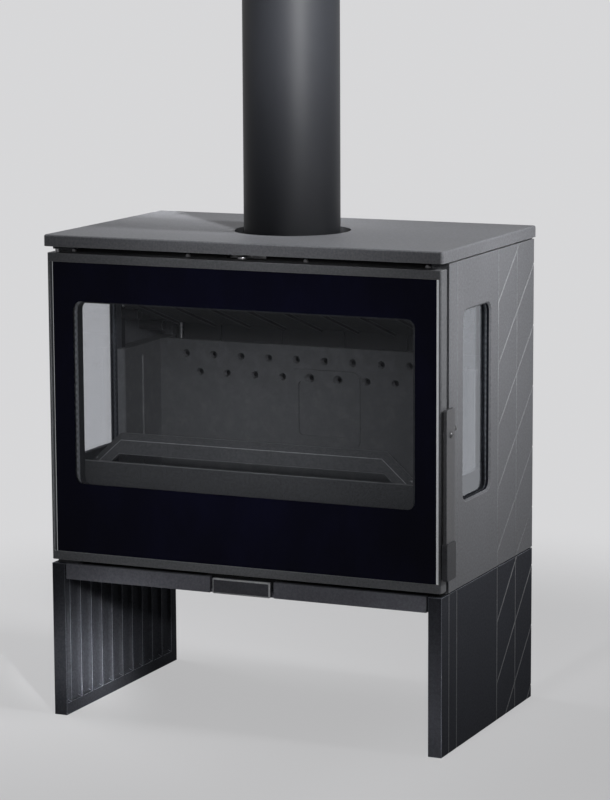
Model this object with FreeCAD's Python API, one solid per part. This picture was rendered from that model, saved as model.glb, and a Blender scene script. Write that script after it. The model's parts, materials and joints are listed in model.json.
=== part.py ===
import FreeCAD, Part
import math
import os
from FreeCAD import Vector as V

os.makedirs("parts", exist_ok=True)

# Driving dimensions in millimetres. X is to the right, Y to the back, Z up.
# The origin is on the floor in the middle.

# Clearances
run_fit = 0.05          # radial play of a turning pin or shaft
slide_gap = 0.3         # play of a sliding or lifted-out piece beside its guide
bolt_play = 0.1         # radial play of a bolt in its hole
seal_gap = 0.4          # rope seal short of its seat, with the door shut
latch_gap = 0.5         # hook tooth below the keeper stud
hair = 0.02             # least difference that keeps a rounded slot's ends from closing up
over = 2.0              # how far a cutting body runs past the face that it cuts

# Body
body_w = 652.0          # over the outer faces of the side panels and legs
half = body_w / 2
top_z, top_d, top_t = 758.0, 400.0, 18.0
top_under = top_z - top_t
side_over, front_over, back_over = 3.0, 5.0, 2.0    # how far the top plate stands out past the body
top_w = body_w + 2 * side_over
body_back = top_d / 2 - back_over       # rear face of the back panel, side panels and legs
leg_front = front_over - top_d / 2
top_round, top_corner = 3.0, 5.0
top_web = 9.0           # thickness of the top plate over its hollow underside

# Screw sizes, as thread radii, and their heads
m5, m6 = 2.5, 3.0
head_k, head_top = 1.7, 0.7    # head radius over thread radius, and its top over its foot

# Flue
pipe_r, pipe_t, pipe_len = 75.0, 2.0, 500.0
hole_gap = 16.0         # hole in the top plate around the flue
hole_r = pipe_r + hole_gap
collar_fit = 0.2
collar_wall, collar_drop, collar_ledge, collar_ledge_t = 8.0, 68.0, 6.0, 8.0
collar_bottom = top_under - collar_drop
collar_flange_t, collar_well, collar_rim = 22.0, 12.0, 6.0
collar_rim_r = hole_r + collar_rim
gasket_land, gasket_w, gasket_h = 6.0, 8.0, 3.0
gasket_r = (collar_rim_r + gasket_land, collar_rim_r + gasket_land + gasket_w)
collar_screw_n, collar_screw_land, collar_screw_seat = 4, 1.0, 8.0
collar_screw_r = gasket_r[1] + m6 + collar_screw_land

# Base plate
base_t, base_top = 12.0, 244.0
base_under = base_top - base_t
pad_w, pad_h, pad_d = 130.0, 3.5, 14.0
base_edge = 1.0         # base plate short of the back panel

# Legs
leg_t = 21.5
leg_shadow = 0.5        # leg's lip short of the base plate's top
leg_h = base_top - leg_shadow
leg_web = 16.0          # thickness between the flutes and the outer face
leg_lip_t = 4.5         # outer lip that hides the edge of the base plate
leg_front_lip = 9.0
flute_pitch, rib_w, flute_edge, flute_foot, flute_head = 35.3, 5.0, 20.0, 19.0, 10.0
flute_z = (flute_foot, base_under - flute_head)
leg_chamfer = 1.6
leg_back_chamfer = 5.0
base_front = leg_front + leg_front_lip

# Front rail
rail_gap, rail_front, rail_t, rail_h = 3.0, leg_front, 8.0, 24.5
rail_half = half - leg_t - rail_gap
rail_bottom = base_top - rail_h
rail_flange_t, rail_flange_d = 6.0, 45.0
notch_w = 107.0

# Side panels
panel_t, panel_set = 7.0, 28.0
inner = half - panel_t
panel_front = leg_front + panel_set
shadow = 1.5            # open joint below the panel, and twice as much above
panel_bottom = base_top + shadow
panel_top = top_under - 2 * shadow
tongue_t = 3.5          # inner part that carries the load across the open joints
flange_w, flange_t = 21.0, 12.0
clear = inner - flange_w
win_set, win_w, win_low, win_high = 59.0, 114.5, 130.0, 80.0    # from the front, base plate and top plate
win_y = (panel_front + win_set, panel_front + win_set + win_w)
win_z, win_r = (base_top + win_low, top_under - win_high), 14.0
win_chamfer = 3.0
groove_w, groove_d = 3.2, 1.6
groove_set, leg_groove_set = (34.0, 207.0, 289.0), 30.0
groove_y = tuple(panel_front + d for d in groove_set)
leg_groove_y = (leg_front + leg_groove_set,) + groove_y
panel_slope, panel_pitch, panel_drop = 0.88, 97.0, 84.0
panel_first = top_under - panel_drop
leg_slope, leg_pitch, leg_first = 1.0, 98.0, 156.0

# Side glass, its seal and its inner frame; each lap is given at the front, at the back, and above and below
glass_t = 4.0
side_seal_t = 2.0
pane_lap, pane_gap = (28.0, 6.0, 14.0), 1.0
pane_y = (win_y[0] - pane_lap[0], win_y[1] + pane_lap[1])
pane_z = (win_z[0] - pane_lap[2], win_z[1] + pane_lap[2])
gframe_lap, gframe_t = (18.0, 10.0, 14.0), 14.0
gframe_y = (pane_y[0] - gframe_lap[0], pane_y[1] + gframe_lap[1])
gframe_z = (pane_z[0] - gframe_lap[2], pane_z[1] + gframe_lap[2])
gframe_step, gframe_sill = (22.0, 3.5, 6.0), 32.0
gframe_open_y = (win_y[0] - gframe_step[0], win_y[1] + gframe_step[1])
gframe_open_z = (win_z[0] + gframe_sill, win_z[1] + gframe_step[2])
gframe_bevel = 7.0
frame_screw_set, frame_screw_low, frame_screw_high = (8.0, 5.0), 66.0, 36.0
frame_screw_y = (gframe_y[0] + frame_screw_set[0], gframe_y[1] - frame_screw_set[1])
frame_screw_z = (win_z[0] + frame_screw_low, win_z[1] - frame_screw_high)

# Back panel
back_t = 8.0
back_face = body_back - back_t
back_rib_n, back_rib_w, back_rib_h, back_rib_inset = 5, 14.0, 4.0, 99.0
back_rib_low, back_rib_high = 46.0, 40.0
back_rib_z = (base_top + back_rib_low, top_under - back_rib_high)
back_screw_low, back_screw_high = 56.0, 50.0
back_screw_z = (base_top + back_screw_low, (base_top + top_under) / 2, top_under - back_screw_high)

# Firebox
lip_t, lip_h = 8.0, 161.0
lip_top = base_top + lip_h
header_h, header_t, header_web = 68.0, 23.0, 7.0
header_z = top_under - header_h
hearth_h, hearth_t, hearth_wall, hearth_gap, hearth_behind = 56.0, 8.0, 8.0, 0.5, 8.0
hearth_z = base_top + hearth_h
fire_y, fire_t, fire_h = 122.0, 8.0, 258.0
fire_top = hearth_z + fire_h
hearth_back = fire_y + fire_t + hearth_behind
fire_hole_r, fire_hole_pitch, fire_hole_n, fire_hole_drop = 4.5, 49.0, 5, (23.0, 52.0)
fire_hole_z = (fire_top - fire_hole_drop[0], fire_top - fire_hole_drop[1])
badge_out, badge_in, badge_up, badge_h, badge_r = 62.5, 44.0, 158.0, 3.0, 14.0
badge_z = hearth_z + badge_up
lining_t, lining_lap, lining_short = 27.0, 28.5, 2.0
lining_x = inner - lining_t
lining_y = (gframe_y[1] - lining_lap, back_face - flange_t)
lining_z = (hearth_z, fire_top - lining_short)
lining_groove_set, lining_groove_w, lining_groove_d, lining_groove_ends = 63.0, 7.0, 2.5, (30.0, 18.0)
lining_groove_y = lining_y[0] + lining_groove_set
lining_groove_z = (lining_z[0] + lining_groove_ends[0], lining_z[1] - lining_groove_ends[1])
lining_round, lining_web, lining_rim = 4.0, 9.0, 7.0
baffle_set, baffle_drop = (6.0, 46.0), (154.0, 96.0)    # rear edge, then front edge
baffle_rear = (fire_y - baffle_set[0], top_under - baffle_drop[0])
baffle_front = (win_y[0] + baffle_set[1], top_under - baffle_drop[1])
baffle_t, baffle_gap = 9.0, 8.0
baffle_half = lining_x - baffle_gap
baffle_rib_n, baffle_rib_w, baffle_rib_h = 9, 6.0, 6.0
peg_r, peg_in, peg_set = 8.0, 16.0, (12.0, 7.0)
peg_y = (baffle_rear[0] - peg_set[0], gframe_open_y[1] + peg_set[1])

# Grate and ash pan
grate_half, grate_t = (119.0, 89.0), 8.0
grate_seat = 6.0
grate_round = 6.0
grate_slot_n, grate_slot_w, grate_slot_half, grate_pitch = 11, 8.0, 66.0, 19.0
pan_half, pan_h, pan_t = (105.0, 75.0), 40.0, 1.5
pan_open = 5.0
pan_round = 12.0

# Log retainer
ret_set, ret_t, ret_gap, ret_slant, ret_h = 2.0, 13.0, 20.0, 50.0, 45.0
ret_front, ret_foot = panel_front + ret_set, lining_x - ret_gap
ret_shoulder, ret_top = ret_foot - ret_slant, lip_top + ret_h
ret_slot_set, ret_slot_h = 36.0, 13.0
ret_slot_foot, ret_slot_top, ret_slot_z = ret_foot - ret_slot_set, ret_shoulder, lip_top + ret_slot_h
ret_bevel = 10.0
ret_hook_set, ret_hook_t, ret_hook_h, ret_hook_up = (30.0, 8.0), 4.0, 18.0, 4.0
ret_hook_x = (ret_foot - ret_hook_set[0], ret_foot - ret_hook_set[1])

# Door; the window and the rope are set in from the sides, the bottom and the top
door_inset, door_proud, door_low, door_high, door_t = 1.0, 1.0, 6.0, 10.0, 24.0
door_w, door_z = body_w - 2 * door_inset, (base_top + door_low, top_under - door_high)
door_front = leg_front - door_proud
door_back = door_front + door_t
rim_wall, rim_lip, rim_lip_t = 4.0, 4.0, 2.5
rim_top_strip, rim_bottom_strip = 13.5, 13.5
door_round, door_edge = 3.0, 1.2
inner_gap = 0.5
glass_gasket_t, glass_gasket_w = 1.5, 12.0
window_set, window_r = (47.5, 118.0, 76.0), 12.0
window_half = door_w / 2 - window_set[0]
window_z = (door_z[0] + window_set[1], door_z[1] - window_set[2])
rope_set, rope_w, rope_depth, rope_edge = (19.0, 35.0, 30.0), 9.0, 2.5, 2.0
rope_x = door_w / 2 - rope_set[0]
rope_z = (door_z[0] + rope_set[1], door_z[1] - rope_set[2])
core_web, core_rim, core_land = 8.0, 16.0, 4.0    # thin stretches of the inner frame, and their borders
door_screw_set, door_screw_len = 125.0, 16.0
door_screw_half = door_w / 2 - door_screw_set

# Hinge
hinge_set, hinge_r, hinge_in = (11.0, 15.0), 4.0, 14.0
hinge_x, hinge_y = hinge_set[0] - door_w / 2, door_front + hinge_set[1]
bracket_t, bracket_side, bracket_deep, bracket_round = 4.5, (5.0, 34.0), (9.0, 13.0), 4.0
bracket_x = (hinge_x - bracket_side[0], hinge_x + bracket_side[1])
bracket_y = (hinge_y - bracket_deep[0], hinge_y + bracket_deep[1])
washer_r, washer_play = 7.5, 0.3

# Handle and latch
pivot_set, pivot_up = 16.0, 243.0
pivot_y, pivot_z = door_front + pivot_set, base_top + pivot_up
shaft_r, collar_r = 4.5, 8.0
lever_gap, lever_t, lever_w, lever_up, lever_down, lever_round = 4.0, 5.0, 32.0, 38.0, 215.0, 3.0
lever_top, lever_bottom = pivot_z + lever_up, pivot_z - lever_down
grip_h, grip_low, grip_wall, grip_in, grip_edge = 54.0, 3.0, 2.0, 1.4, 1.2
grip_top, grip_bottom = lever_bottom + grip_h, lever_bottom - grip_low
hook_set, hook_t, hook_hub = 23.0, 9.0, 7.3
hook_x = (inner - hook_set - hook_t, inner - hook_set)
hook_arm_h, hook_reach, hook_tooth_w, hook_tooth_h = 9.0, 48.0, 7.0, 5.5
hook_neck = (4.4, 5.1)    # where the arm leaves the hub, back and up from the shaft
hook_bend = 14.6          # where the arm turns level, behind the shaft
pocket_gap, pocket_low, pocket_high = 1.0, 29.0, 13.0
pocket_x = (hook_x[0] - pocket_gap, hook_x[1] + pocket_gap)
pocket_z = (pivot_z - pocket_low, pivot_z + pocket_high)
stud_set, stud_up, stud_r, stud_len = 21.0, 4.0, 4.0, 35.0
stud_y, stud_z, stud_in = panel_front + stud_set, pivot_z + stud_up, inner - stud_len
dome_r, dome_h = 5.5, 3.6

# Primary air slide and its box
tab_half, tab_proud, tab_t, tab_drop, tab_round, tab_edge = 46.5, 5.0, 9.0, 2.0, 2.0, 1.2
tab_front, tab_z = rail_front - tab_proud, (rail_bottom, base_top - tab_drop)
slide_half, slide_t, slide_back, slide_drop = 44.0, 4.0, 25.0, 2.0
slide_top = base_under - slide_drop
air_hole_r, air_hole_y, air_travel = 24.0, -40.0, 45.0
box_half, box_back, box_h, box_wall, box_ledge = 60.0, 60.0, 18.0, 3.5, 6.0
box_bottom = base_under - box_h

# Secondary air slide
channel_half, channel_h, channel_wall = 115.0, 25.0, 9.0
channel_bottom = top_under - channel_h
sec_half, sec_t, sec_top_gap = 88.0, 6.4, 1.0
knob_drop, knob_half, knob_h, knob_proud, knob_edge, stem_half, tenon_r = 6.0, 8.0, 5.0, 23.0, 1.6, 5.0, 2.0
knob_z, knob_front = top_under - knob_drop, panel_front - knob_proud
knob_slot_half, knob_slot_h = 32.0, 7.0
knob_slot_z = (knob_z - knob_slot_h / 2, knob_z + knob_slot_h / 2)
sec_hole_r, sec_hole_n, sec_hole_pitch, sec_hole_up = 4.0, 4, 40.0, 7.0
sec_hole_z = channel_bottom + sec_hole_up

# Fixings
rod_r, rod_set, rod_in, nut_h = 4.0, (43.0, 23.0), 8.0, 6.5
rod_x, rod_y = inner - rod_set[0], back_face - rod_set[1]
bolt_r, leg_bolt_set, leg_bolt_len = 4.0, (55.0, 58.0), 26.0
leg_bolt_y = (leg_front + leg_bolt_set[0], body_back - leg_bolt_set[1])
header_screw_n, header_screw_inset, header_screw_drop, header_screw_len = 4, 26.5, 9.0, 7.0
header_screw_z = top_under - header_screw_drop
rail_screw_set = (51.5, 60.0)
rail_screw_x = (rail_half - rail_screw_set[0], box_half + rail_screw_set[1])

AXES = {"x": V(1, 0, 0), "y": V(0, 1, 0), "z": V(0, 0, 1)}


def block(x, y, z):
    """Box between pairs of limits, which may be given in either order."""
    x, y, z = sorted(x), sorted(y), sorted(z)
    return Part.makeBox(x[1] - x[0], y[1] - y[0], z[1] - z[0], V(x[0], y[0], z[0]))


def rod(axis, at, r, span):
    """Cylinder along an axis; at gives its other two coordinates in the order x, y, z."""
    lo, hi = sorted(span)
    base = {"x": lambda: V(lo, at[0], at[1]), "y": lambda: V(at[0], lo, at[1]),
            "z": lambda: V(at[0], at[1], lo)}
    return Part.makeCylinder(r, hi - lo, base[axis](), AXES[axis])


def taper(axis, at, r0, r1, span):
    """Cone from radius r0 at span[0] to r1 at span[1], along an axis."""
    base = {"x": lambda: V(span[0], at[0], at[1]), "y": lambda: V(at[0], span[0], at[1]),
            "z": lambda: V(at[0], at[1], span[0])}
    way = AXES[axis] if span[1] > span[0] else AXES[axis] * -1
    return Part.makeCone(r0, r1, abs(span[1] - span[0]), base[axis](), way)


def along(shape, axis):
    """Straight edges of a shape that run along an axis."""
    found = []
    for e in shape.Edges:
        if e.Curve.TypeId == "Part::GeomLine":
            way = e.tangentAt(e.FirstParameter)
            if abs(way.dot(AXES[axis])) > 0.999:
                found.append(e)
    return found


def rounded(axis, x, y, z, r):
    """Box with its four edges along an axis rounded."""
    shape = block(x, y, z)
    return shape.makeFillet(r, along(shape, axis))


def prism(axis, points, span):
    """Straight prism of a closed outline; the points are the other two coordinates in the order x, y, z."""
    lo, hi = sorted(span)
    place = {"x": lambda p: V(lo, p[0], p[1]), "y": lambda p: V(p[0], lo, p[1]),
             "z": lambda p: V(p[0], p[1], lo)}
    corners = [place[axis](p) for p in points]
    return Part.Face(Part.makePolygon(corners + corners[:1])).extrude(AXES[axis] * (hi - lo))


def join(*shapes):
    """One solid from touching pieces."""
    return shapes[0].multiFuse(list(shapes[1:])).removeSplitter()


def cut(shape, *tools):
    """A shape less every tool."""
    return shape.cut(Part.makeCompound(list(tools))).removeSplitter()


def mirrored(shape):
    """The same shape on the other side of the middle plane."""
    return shape.mirror(V(0, 0, 0), AXES["x"])


def export(name, shape):
    """Writes one node."""
    shape.exportStep("parts/" + name + ".step")


def both_sides(name, shape):
    """Writes a right-hand piece and its mirror image."""
    export(name + "_right", shape)
    export(name + "_left", mirrored(shape))


def near(a, b):
    """Whether two coordinates are the same."""
    return abs(a - b) < 0.01


def spread(n, pitch):
    """Centres of n equally spaced things about zero."""
    return [(i - (n - 1) / 2) * pitch for i in range(n)]


def screw(axis, at, r, head, tip, head_h):
    """Button-head screw: the head's underside is at head and the thread ends at tip."""
    way = 1 if head > tip else -1
    shank = rod(axis, at, r, (head, tip))
    cap = taper(axis, at, r * head_k, r * head_k * head_top, (head, head + way * head_h))
    return join(shank, cap)


def dome(at, x):
    """Domed head on a face that looks to the right."""
    ball_r = (dome_r ** 2 + dome_h ** 2) / (2 * dome_h)
    ball = Part.makeSphere(ball_r, V(x + dome_h - ball_r, at[0], at[1]))
    return ball.common(block((x, x + 2 * ball_r), (at[0] - ball_r, at[0] + ball_r),
                             (at[1] - ball_r, at[1] + ball_r)))


def flat_screw(at, r, face, tip):
    """Upright screw with a countersunk head flush with a face."""
    way = 1 if tip > face else -1
    return join(rod("z", at, r, (face, tip)),
                taper("z", at, r * head_k, r, (face, face + way * r * (head_k - 1))))


def flat_hole(at, r, face, tip):
    """Hole for such a screw."""
    way = 1 if tip > face else -1
    wide = r + bolt_play
    return [rod("z", at, wide, (face - way * over, tip)),
            taper("z", at, r * head_k + bolt_play, wide, (face, face + way * r * (head_k - 1)))]


def stripe(points, x):
    """Body that engraves one straight groove into an outer side face, between two points given as y and z."""
    (y0, z0), (y1, z1) = points
    length = math.hypot(y1 - y0, z1 - z0)
    ny, nz = -(z1 - z0) / length * groove_w / 2, (y1 - y0) / length * groove_w / 2
    corners = [(y0 + ny, z0 + nz), (y1 + ny, z1 + nz), (y1 - ny, z1 - nz), (y0 - ny, z0 - nz)]
    return prism("x", corners, (x - groove_d, x + over))


def engraving(uprights, slope, pitch, first, z, x):
    """Grooves of one outer side face: uprights, and slanted lines behind the middle upright."""
    lo, hi = z
    lines = [[(y, lo - over), (y, hi + over)] for y in uprights]
    start, end = groove_y[1], body_back + over
    rise = (end - start) * slope
    count = int((hi - lo + rise) / pitch) + 2
    for i in range(-count, count):
        z0 = first + i * pitch
        z1 = z0 + rise
        if z1 < lo or z0 > hi:
            continue
        a, b = max(0.0, (lo - over - z0) / rise), min(1.0, (hi + over - z0) / rise)
        lines.append([(start + a * (end - start), z0 + a * rise), (start + b * (end - start), z0 + b * rise)])
    return [stripe(p, x) for p in lines]


# Top plate: casting with softened edges, the flue hole and a hollow underside around the collar's seat
top_x, top_y = (-top_w / 2, top_w / 2), (-top_d / 2, top_d / 2)
top = rounded("z", top_x, top_y, (top_under, top_z), top_corner)
top = top.makeFillet(top_round, [e for e in top.Edges if all(near(v.Z, top_z) for v in e.Vertexes)])
rod_holes = [rod("z", (s * rod_x, rod_y), rod_r, (top_under - over, top_under + rod_in)) for s in (-1, 1)]
collar_holes = []
for i in range(collar_screw_n):
    a = math.pi / 4 + i * 2 * math.pi / collar_screw_n
    collar_holes.append((math.cos(a) * collar_screw_r, math.sin(a) * collar_screw_r))
flange_r = collar_screw_r + collar_screw_seat
hollow_x, hollow_y = rod_x - 3 * rod_r, (panel_front + header_t + flange_t / 2, rod_y + rod_r)
hollow = block((-hollow_x, hollow_x), hollow_y, (top_under - over, top_z - top_web))
hollow = hollow.cut(rod("z", (0, 0), flange_r + collar_screw_seat / 2, (top_under - 2 * over, top_z)))
top = cut(top, hollow, rod("z", (0, 0), hole_r, (top_under - over, top_z + over)), *rod_holes,
          *[rod("z", p, m6, (top_under - over, top_under + rod_in)) for p in collar_holes])
export("top_plate", top)

# Flue collar under the plate: flange with a well around the socket that holds the pipe
socket_r = pipe_r + collar_fit
flange_z = top_under - collar_flange_t
tube = rod("z", (0, 0), socket_r + collar_wall, (collar_bottom, top_under - collar_well))
collar = join(tube, rod("z", (0, 0), flange_r, (flange_z, top_under)))
collar = cut(collar, rod("z", (0, 0), socket_r, (collar_bottom + collar_ledge_t, top_under + over)),
             rod("z", (0, 0), socket_r - collar_ledge, (collar_bottom - over, top_under)),
             rod("z", (0, 0), collar_rim_r, (top_under - collar_well, top_under + over)),
             rod("z", (0, 0), gasket_r[1], (top_under - gasket_h, top_under + over)).cut(
                 rod("z", (0, 0), gasket_r[0], (top_under - gasket_h, top_under + over))),
             *[rod("z", p, m6 + bolt_play, (flange_z - over, top_under + over)) for p in collar_holes])
export("flue_collar", collar)
ring = rod("z", (0, 0), gasket_r[1], (top_under - gasket_h, top_under))
ring = ring.cut(rod("z", (0, 0), gasket_r[0], (top_under - gasket_h - over, top_under + over)))
export("flue_gasket", ring)
export("flue_screws", Part.makeCompound(
    [screw("z", p, m6, flange_z, top_under + rod_in, m6) for p in collar_holes]))
pipe_z = (collar_bottom + collar_ledge_t, collar_bottom + collar_ledge_t + pipe_len)
pipe = rod("z", (0, 0), pipe_r, pipe_z)
export("flue_pipe", pipe.cut(rod("z", (0, 0), pipe_r - pipe_t, (pipe_z[0] - over, pipe_z[1] + over))))

# Side panels: window, sealing flange at the front, screwing flange at the back, engraved outer face
panel = block((inner, half), (panel_front, body_back), (panel_bottom, panel_top))
tongue = block((inner, inner + tongue_t), (panel_front, body_back), (base_top, top_under))
front_flange = block((inner - flange_w, inner), (panel_front, panel_front + flange_t), (base_top, top_under))
back_flange = block((inner - flange_w, inner), (back_face - flange_t, back_face), (base_top, top_under))
panel = join(panel, tongue, front_flange, back_flange)
mouth = rounded("x", (inner - over, half + over), win_y, win_z, win_r)
wide_y = (win_y[0] - win_chamfer, win_y[1] + win_chamfer)
wide_z = (win_z[0] - win_chamfer, win_z[1] + win_chamfer)
flare = rounded("x", (half - win_chamfer, half), wide_y, wide_z, win_r + win_chamfer)
flare = flare.makeChamfer(win_chamfer - hair, [e for e in flare.Edges if all(
    near(v.X, half - win_chamfer) for v in e.Vertexes)])
stud_hole = rod("x", (stud_y, stud_z), stud_r + run_fit, (inner - flange_w - over, half + over))
back_holes = [rod("y", (inner - flange_w / 2, z), m6, (back_face - flange_t - over, back_face + over))
              for z in back_screw_z]
frame_holes = [(y, z) for y in frame_screw_y for z in frame_screw_z]
frame_taps = [rod("x", p, m5, (inner - over, inner + panel_t / 2)) for p in frame_holes]
panel_cuts = [mouth, flare, *back_holes, *frame_taps]
panel_cuts += engraving(groove_y, panel_slope, panel_pitch, panel_first, (panel_bottom, panel_top), half)
export("side_panel_right", cut(panel, stud_hole, *panel_cuts))
export("side_panel_left", mirrored(cut(panel, *panel_cuts)))

# Side glass with its flat seal, held from inside by a frame
seal_x = (inner - side_seal_t, inner)
pane_x = (seal_x[0] - glass_t, seal_x[0])
pane = rounded("x", pane_x, pane_y, pane_z, win_r)
both_sides("side_glass", pane)
seal = rounded("x", seal_x, pane_y, pane_z, win_r)
seal_hole_y = (win_y[0] - pane_gap, win_y[1] + pane_gap)
seal_hole_z = (win_z[0] - pane_gap, win_z[1] + pane_gap)
seal = seal.cut(rounded("x", (seal_x[0] - over, seal_x[1] + over), seal_hole_y, seal_hole_z,
                        win_r + pane_gap))
both_sides("side_seal", seal)
gframe_x = (inner - gframe_t, inner)
gframe = block(gframe_x, gframe_y, gframe_z)
room_y, room_z = (pane_y[0] - pane_gap, pane_y[1] + pane_gap), (pane_z[0] - pane_gap, pane_z[1] + pane_gap)
room = rounded("x", (pane_x[0], inner + over), room_y, room_z, win_r)
gate = rounded("x", (gframe_x[0] - over, inner), gframe_open_y, gframe_open_z, win_r)
splay_y = (gframe_open_y[0] - gframe_bevel, gframe_open_y[0])
splay = prism("z", [(gframe_x[0], splay_y[0]), (gframe_x[0], splay_y[1] + over),
                    (gframe_x[0] + gframe_bevel, splay_y[1] + over),
                    (gframe_x[0] + gframe_bevel, splay_y[1])],
              (gframe_open_z[0] + win_r, gframe_open_z[1] - win_r))
frame_bores = [rod("x", p, m5 + bolt_play, (gframe_x[0] - over, inner + over)) for p in frame_holes]
gframe = cut(gframe, room, gate, splay, *frame_bores)
export("glass_frame_right", cut(gframe, stud_hole))
export("glass_frame_left", mirrored(gframe))
frame_screws = [screw("x", p, m5, gframe_x[0], inner + panel_t / 2, m5) for p in frame_holes]
export("glass_frame_screws", Part.makeCompound(frame_screws + [mirrored(s) for s in frame_screws]))

# Keeper stud through the right panel: dome outside, plain end inside for the latch hook
export("keeper_stud", join(rod("x", (stud_y, stud_z), stud_r, (stud_in, half)), dome((stud_y, stud_z), half)))

# Back panel between the side panels, with stiffening ribs
back = block((-inner, inner), (back_face, body_back), (base_top, top_under))
ribs = [block((x - back_rib_w / 2, x + back_rib_w / 2), (back_face - back_rib_h, back_face), back_rib_z)
        for x in spread(back_rib_n, 2 * (inner - back_rib_inset) / (back_rib_n - 1))]
back_points = [(s * (inner - flange_w / 2), z) for s in (-1, 1) for z in back_screw_z]
back = cut(join(back, *ribs), *[rod("y", p, m6 + bolt_play, (back_face - over, body_back + over))
                                for p in back_points])
export("back_panel", back)
export("back_screws", Part.makeCompound(
    [screw("y", p, m6, body_back, back_face - flange_t, m6) for p in back_points]))

# Base plate with the raised pad behind the pull tab
base_x = half - leg_lip_t - hearth_gap
base = block((-base_x, base_x), (base_front, back_face - base_edge), (base_under, base_top))
pad = block((-pad_w / 2, pad_w / 2), (base_front, base_front + pad_d), (base_top, base_top + pad_h))
leg_points = [(s * (half - leg_lip_t - (leg_t - leg_lip_t) / 2), y) for s in (-1, 1) for y in leg_bolt_y]
rail_flange_back = rail_front + rail_flange_d
rail_points = [(s * x, (rail_front + rail_t + rail_flange_back) / 2) for s in (-1, 1) for x in rail_screw_x]
base = cut(join(base, pad), rod("z", (0, air_hole_y), air_hole_r, (base_under - over, base_top + over)),
           *[t for p in leg_points for t in flat_hole(p, bolt_r, base_top, base_under - over)],
           *[rod("z", p, m5, (base_under - over, base_under + base_t / 2)) for p in rail_points],
           *[rod("z", (s * rod_x, rod_y), rod_r + bolt_play, (base_under - over, base_top + over))
             for s in (-1, 1)])
export("base_plate", base)

# Legs: fluted inside, engraved outside, with a ledge for the base plate
leg_x = (half - leg_t, half)
leg = block(leg_x, (leg_front, body_back), (0, base_under))
lip = block((half - leg_lip_t, half), (leg_front, body_back), (base_under, leg_h))
front_lip_block = block(leg_x, (leg_front, leg_front + leg_front_lip - hearth_gap), (base_under, leg_h))
leg = join(leg, lip, front_lip_block)
leg = leg.makeChamfer(leg_chamfer, [e for e in along(leg, "z") if near(e.Vertexes[0].Y, leg_front)])
leg = leg.makeChamfer(leg_back_chamfer, [e for e in along(leg, "z") if near(e.Vertexes[0].Y, body_back)
                                         and near(e.Vertexes[0].X, leg_x[0])])
flute_half = (flute_pitch - rib_w) / 2
flute_n = int((2 * (min(body_back, -leg_front) - flute_edge) + rib_w) / flute_pitch)
flutes = [block((leg_x[0] - over, half - leg_web), (y - flute_half, y + flute_half), flute_z)
          for y in spread(flute_n, flute_pitch)]
flutes = [f.makeFillet(flute_pitch / 9, [e for e in along(f, "z") if near(e.Vertexes[0].X, half - leg_web)])
          for f in flutes]
leg = cut(leg, *flutes, *engraving(leg_groove_y, leg_slope, leg_pitch, leg_first, (0, leg_h), half),
          *[rod("z", p, bolt_r, (base_top - leg_bolt_len, base_under + over))
            for p in leg_points if p[0] > 0])
both_sides("leg", leg)
export("leg_bolts", Part.makeCompound(
    [flat_screw(p, bolt_r, base_top, base_top - leg_bolt_len) for p in leg_points]))

# Front rail between the legs, notched for the pull tab, screwed up under the base plate
rail = block((-rail_half, rail_half), (rail_front, rail_front + rail_t), (rail_bottom, base_top))
foot = block((-rail_half, rail_half), (rail_front + rail_t, rail_flange_back),
             (base_under - rail_flange_t, base_under))
notch = block((-notch_w / 2, notch_w / 2), (rail_front - over, rail_front + rail_t + over),
              (rail_bottom - over, base_top + over))
passage = block((-box_half, box_half), (rail_front + rail_t, rail_flange_back + over),
                (rail_bottom, base_under + over))
bridge = block((-box_half - rail_t, box_half + rail_t), (tab_front + tab_t + slide_gap, rail_flange_back),
               (rail_bottom, slide_top - slide_t - slide_gap))
rail = cut(join(cut(join(rail, foot), notch, passage), bridge),
           *[rod("z", p, m5 + bolt_play, (rail_bottom - over, base_under + over)) for p in rail_points])
export("front_rail", rail)
export("rail_screws", Part.makeCompound(
    [screw("z", p, m5, base_under - rail_flange_t, base_under + base_t / 2, m5) for p in rail_points]))

# Air box under the base plate: open at the back, with ledges that carry the slide
box_y = (rail_flange_back + over, box_back)
box = block((-box_half, box_half), box_y, (box_bottom, base_under))
box = cut(box, block((-box_half + box_wall, box_half - box_wall), (box_y[0] + box_wall, box_y[1] + over),
                     (box_bottom + box_wall, base_under + over)),
          block((-slide_half - slide_gap, slide_half + slide_gap),
                (box_y[0] - over, box_y[0] + box_wall + over),
                (slide_top - slide_t - slide_gap, base_under + over)))
ledge_z = (slide_top - slide_t - slide_gap - box_wall, slide_top - slide_t - slide_gap)
ledges = []
for s in (-1, 1):
    ledges.append(block((s * (slide_half - box_ledge), s * (box_half - box_wall)), box_y, ledge_z))
    ledges.append(block((s * (slide_half + slide_gap), s * (box_half - box_wall)), box_y,
                        (ledge_z[1], base_under)))
export("air_box", join(box, *ledges))

# Primary air slide: plate with its air hole, and the pull tab in the rail's notch
plate = block((-slide_half, slide_half), (tab_front + tab_t, slide_back), (slide_top - slide_t, slide_top))
plate = cut(plate, rod("z", (0, air_hole_y + air_travel), air_hole_r - box_ledge,
                       (slide_top - slide_t - over, slide_top + over)))
tab = rounded("y", (-tab_half, tab_half), (tab_front, tab_front + tab_t), tab_z, tab_round)
tab = tab.makeFillet(tab_edge, [e for e in tab.Edges if all(near(v.Y, tab_front) for v in e.Vertexes)])
export("air_slide", join(plate, tab))

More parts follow.
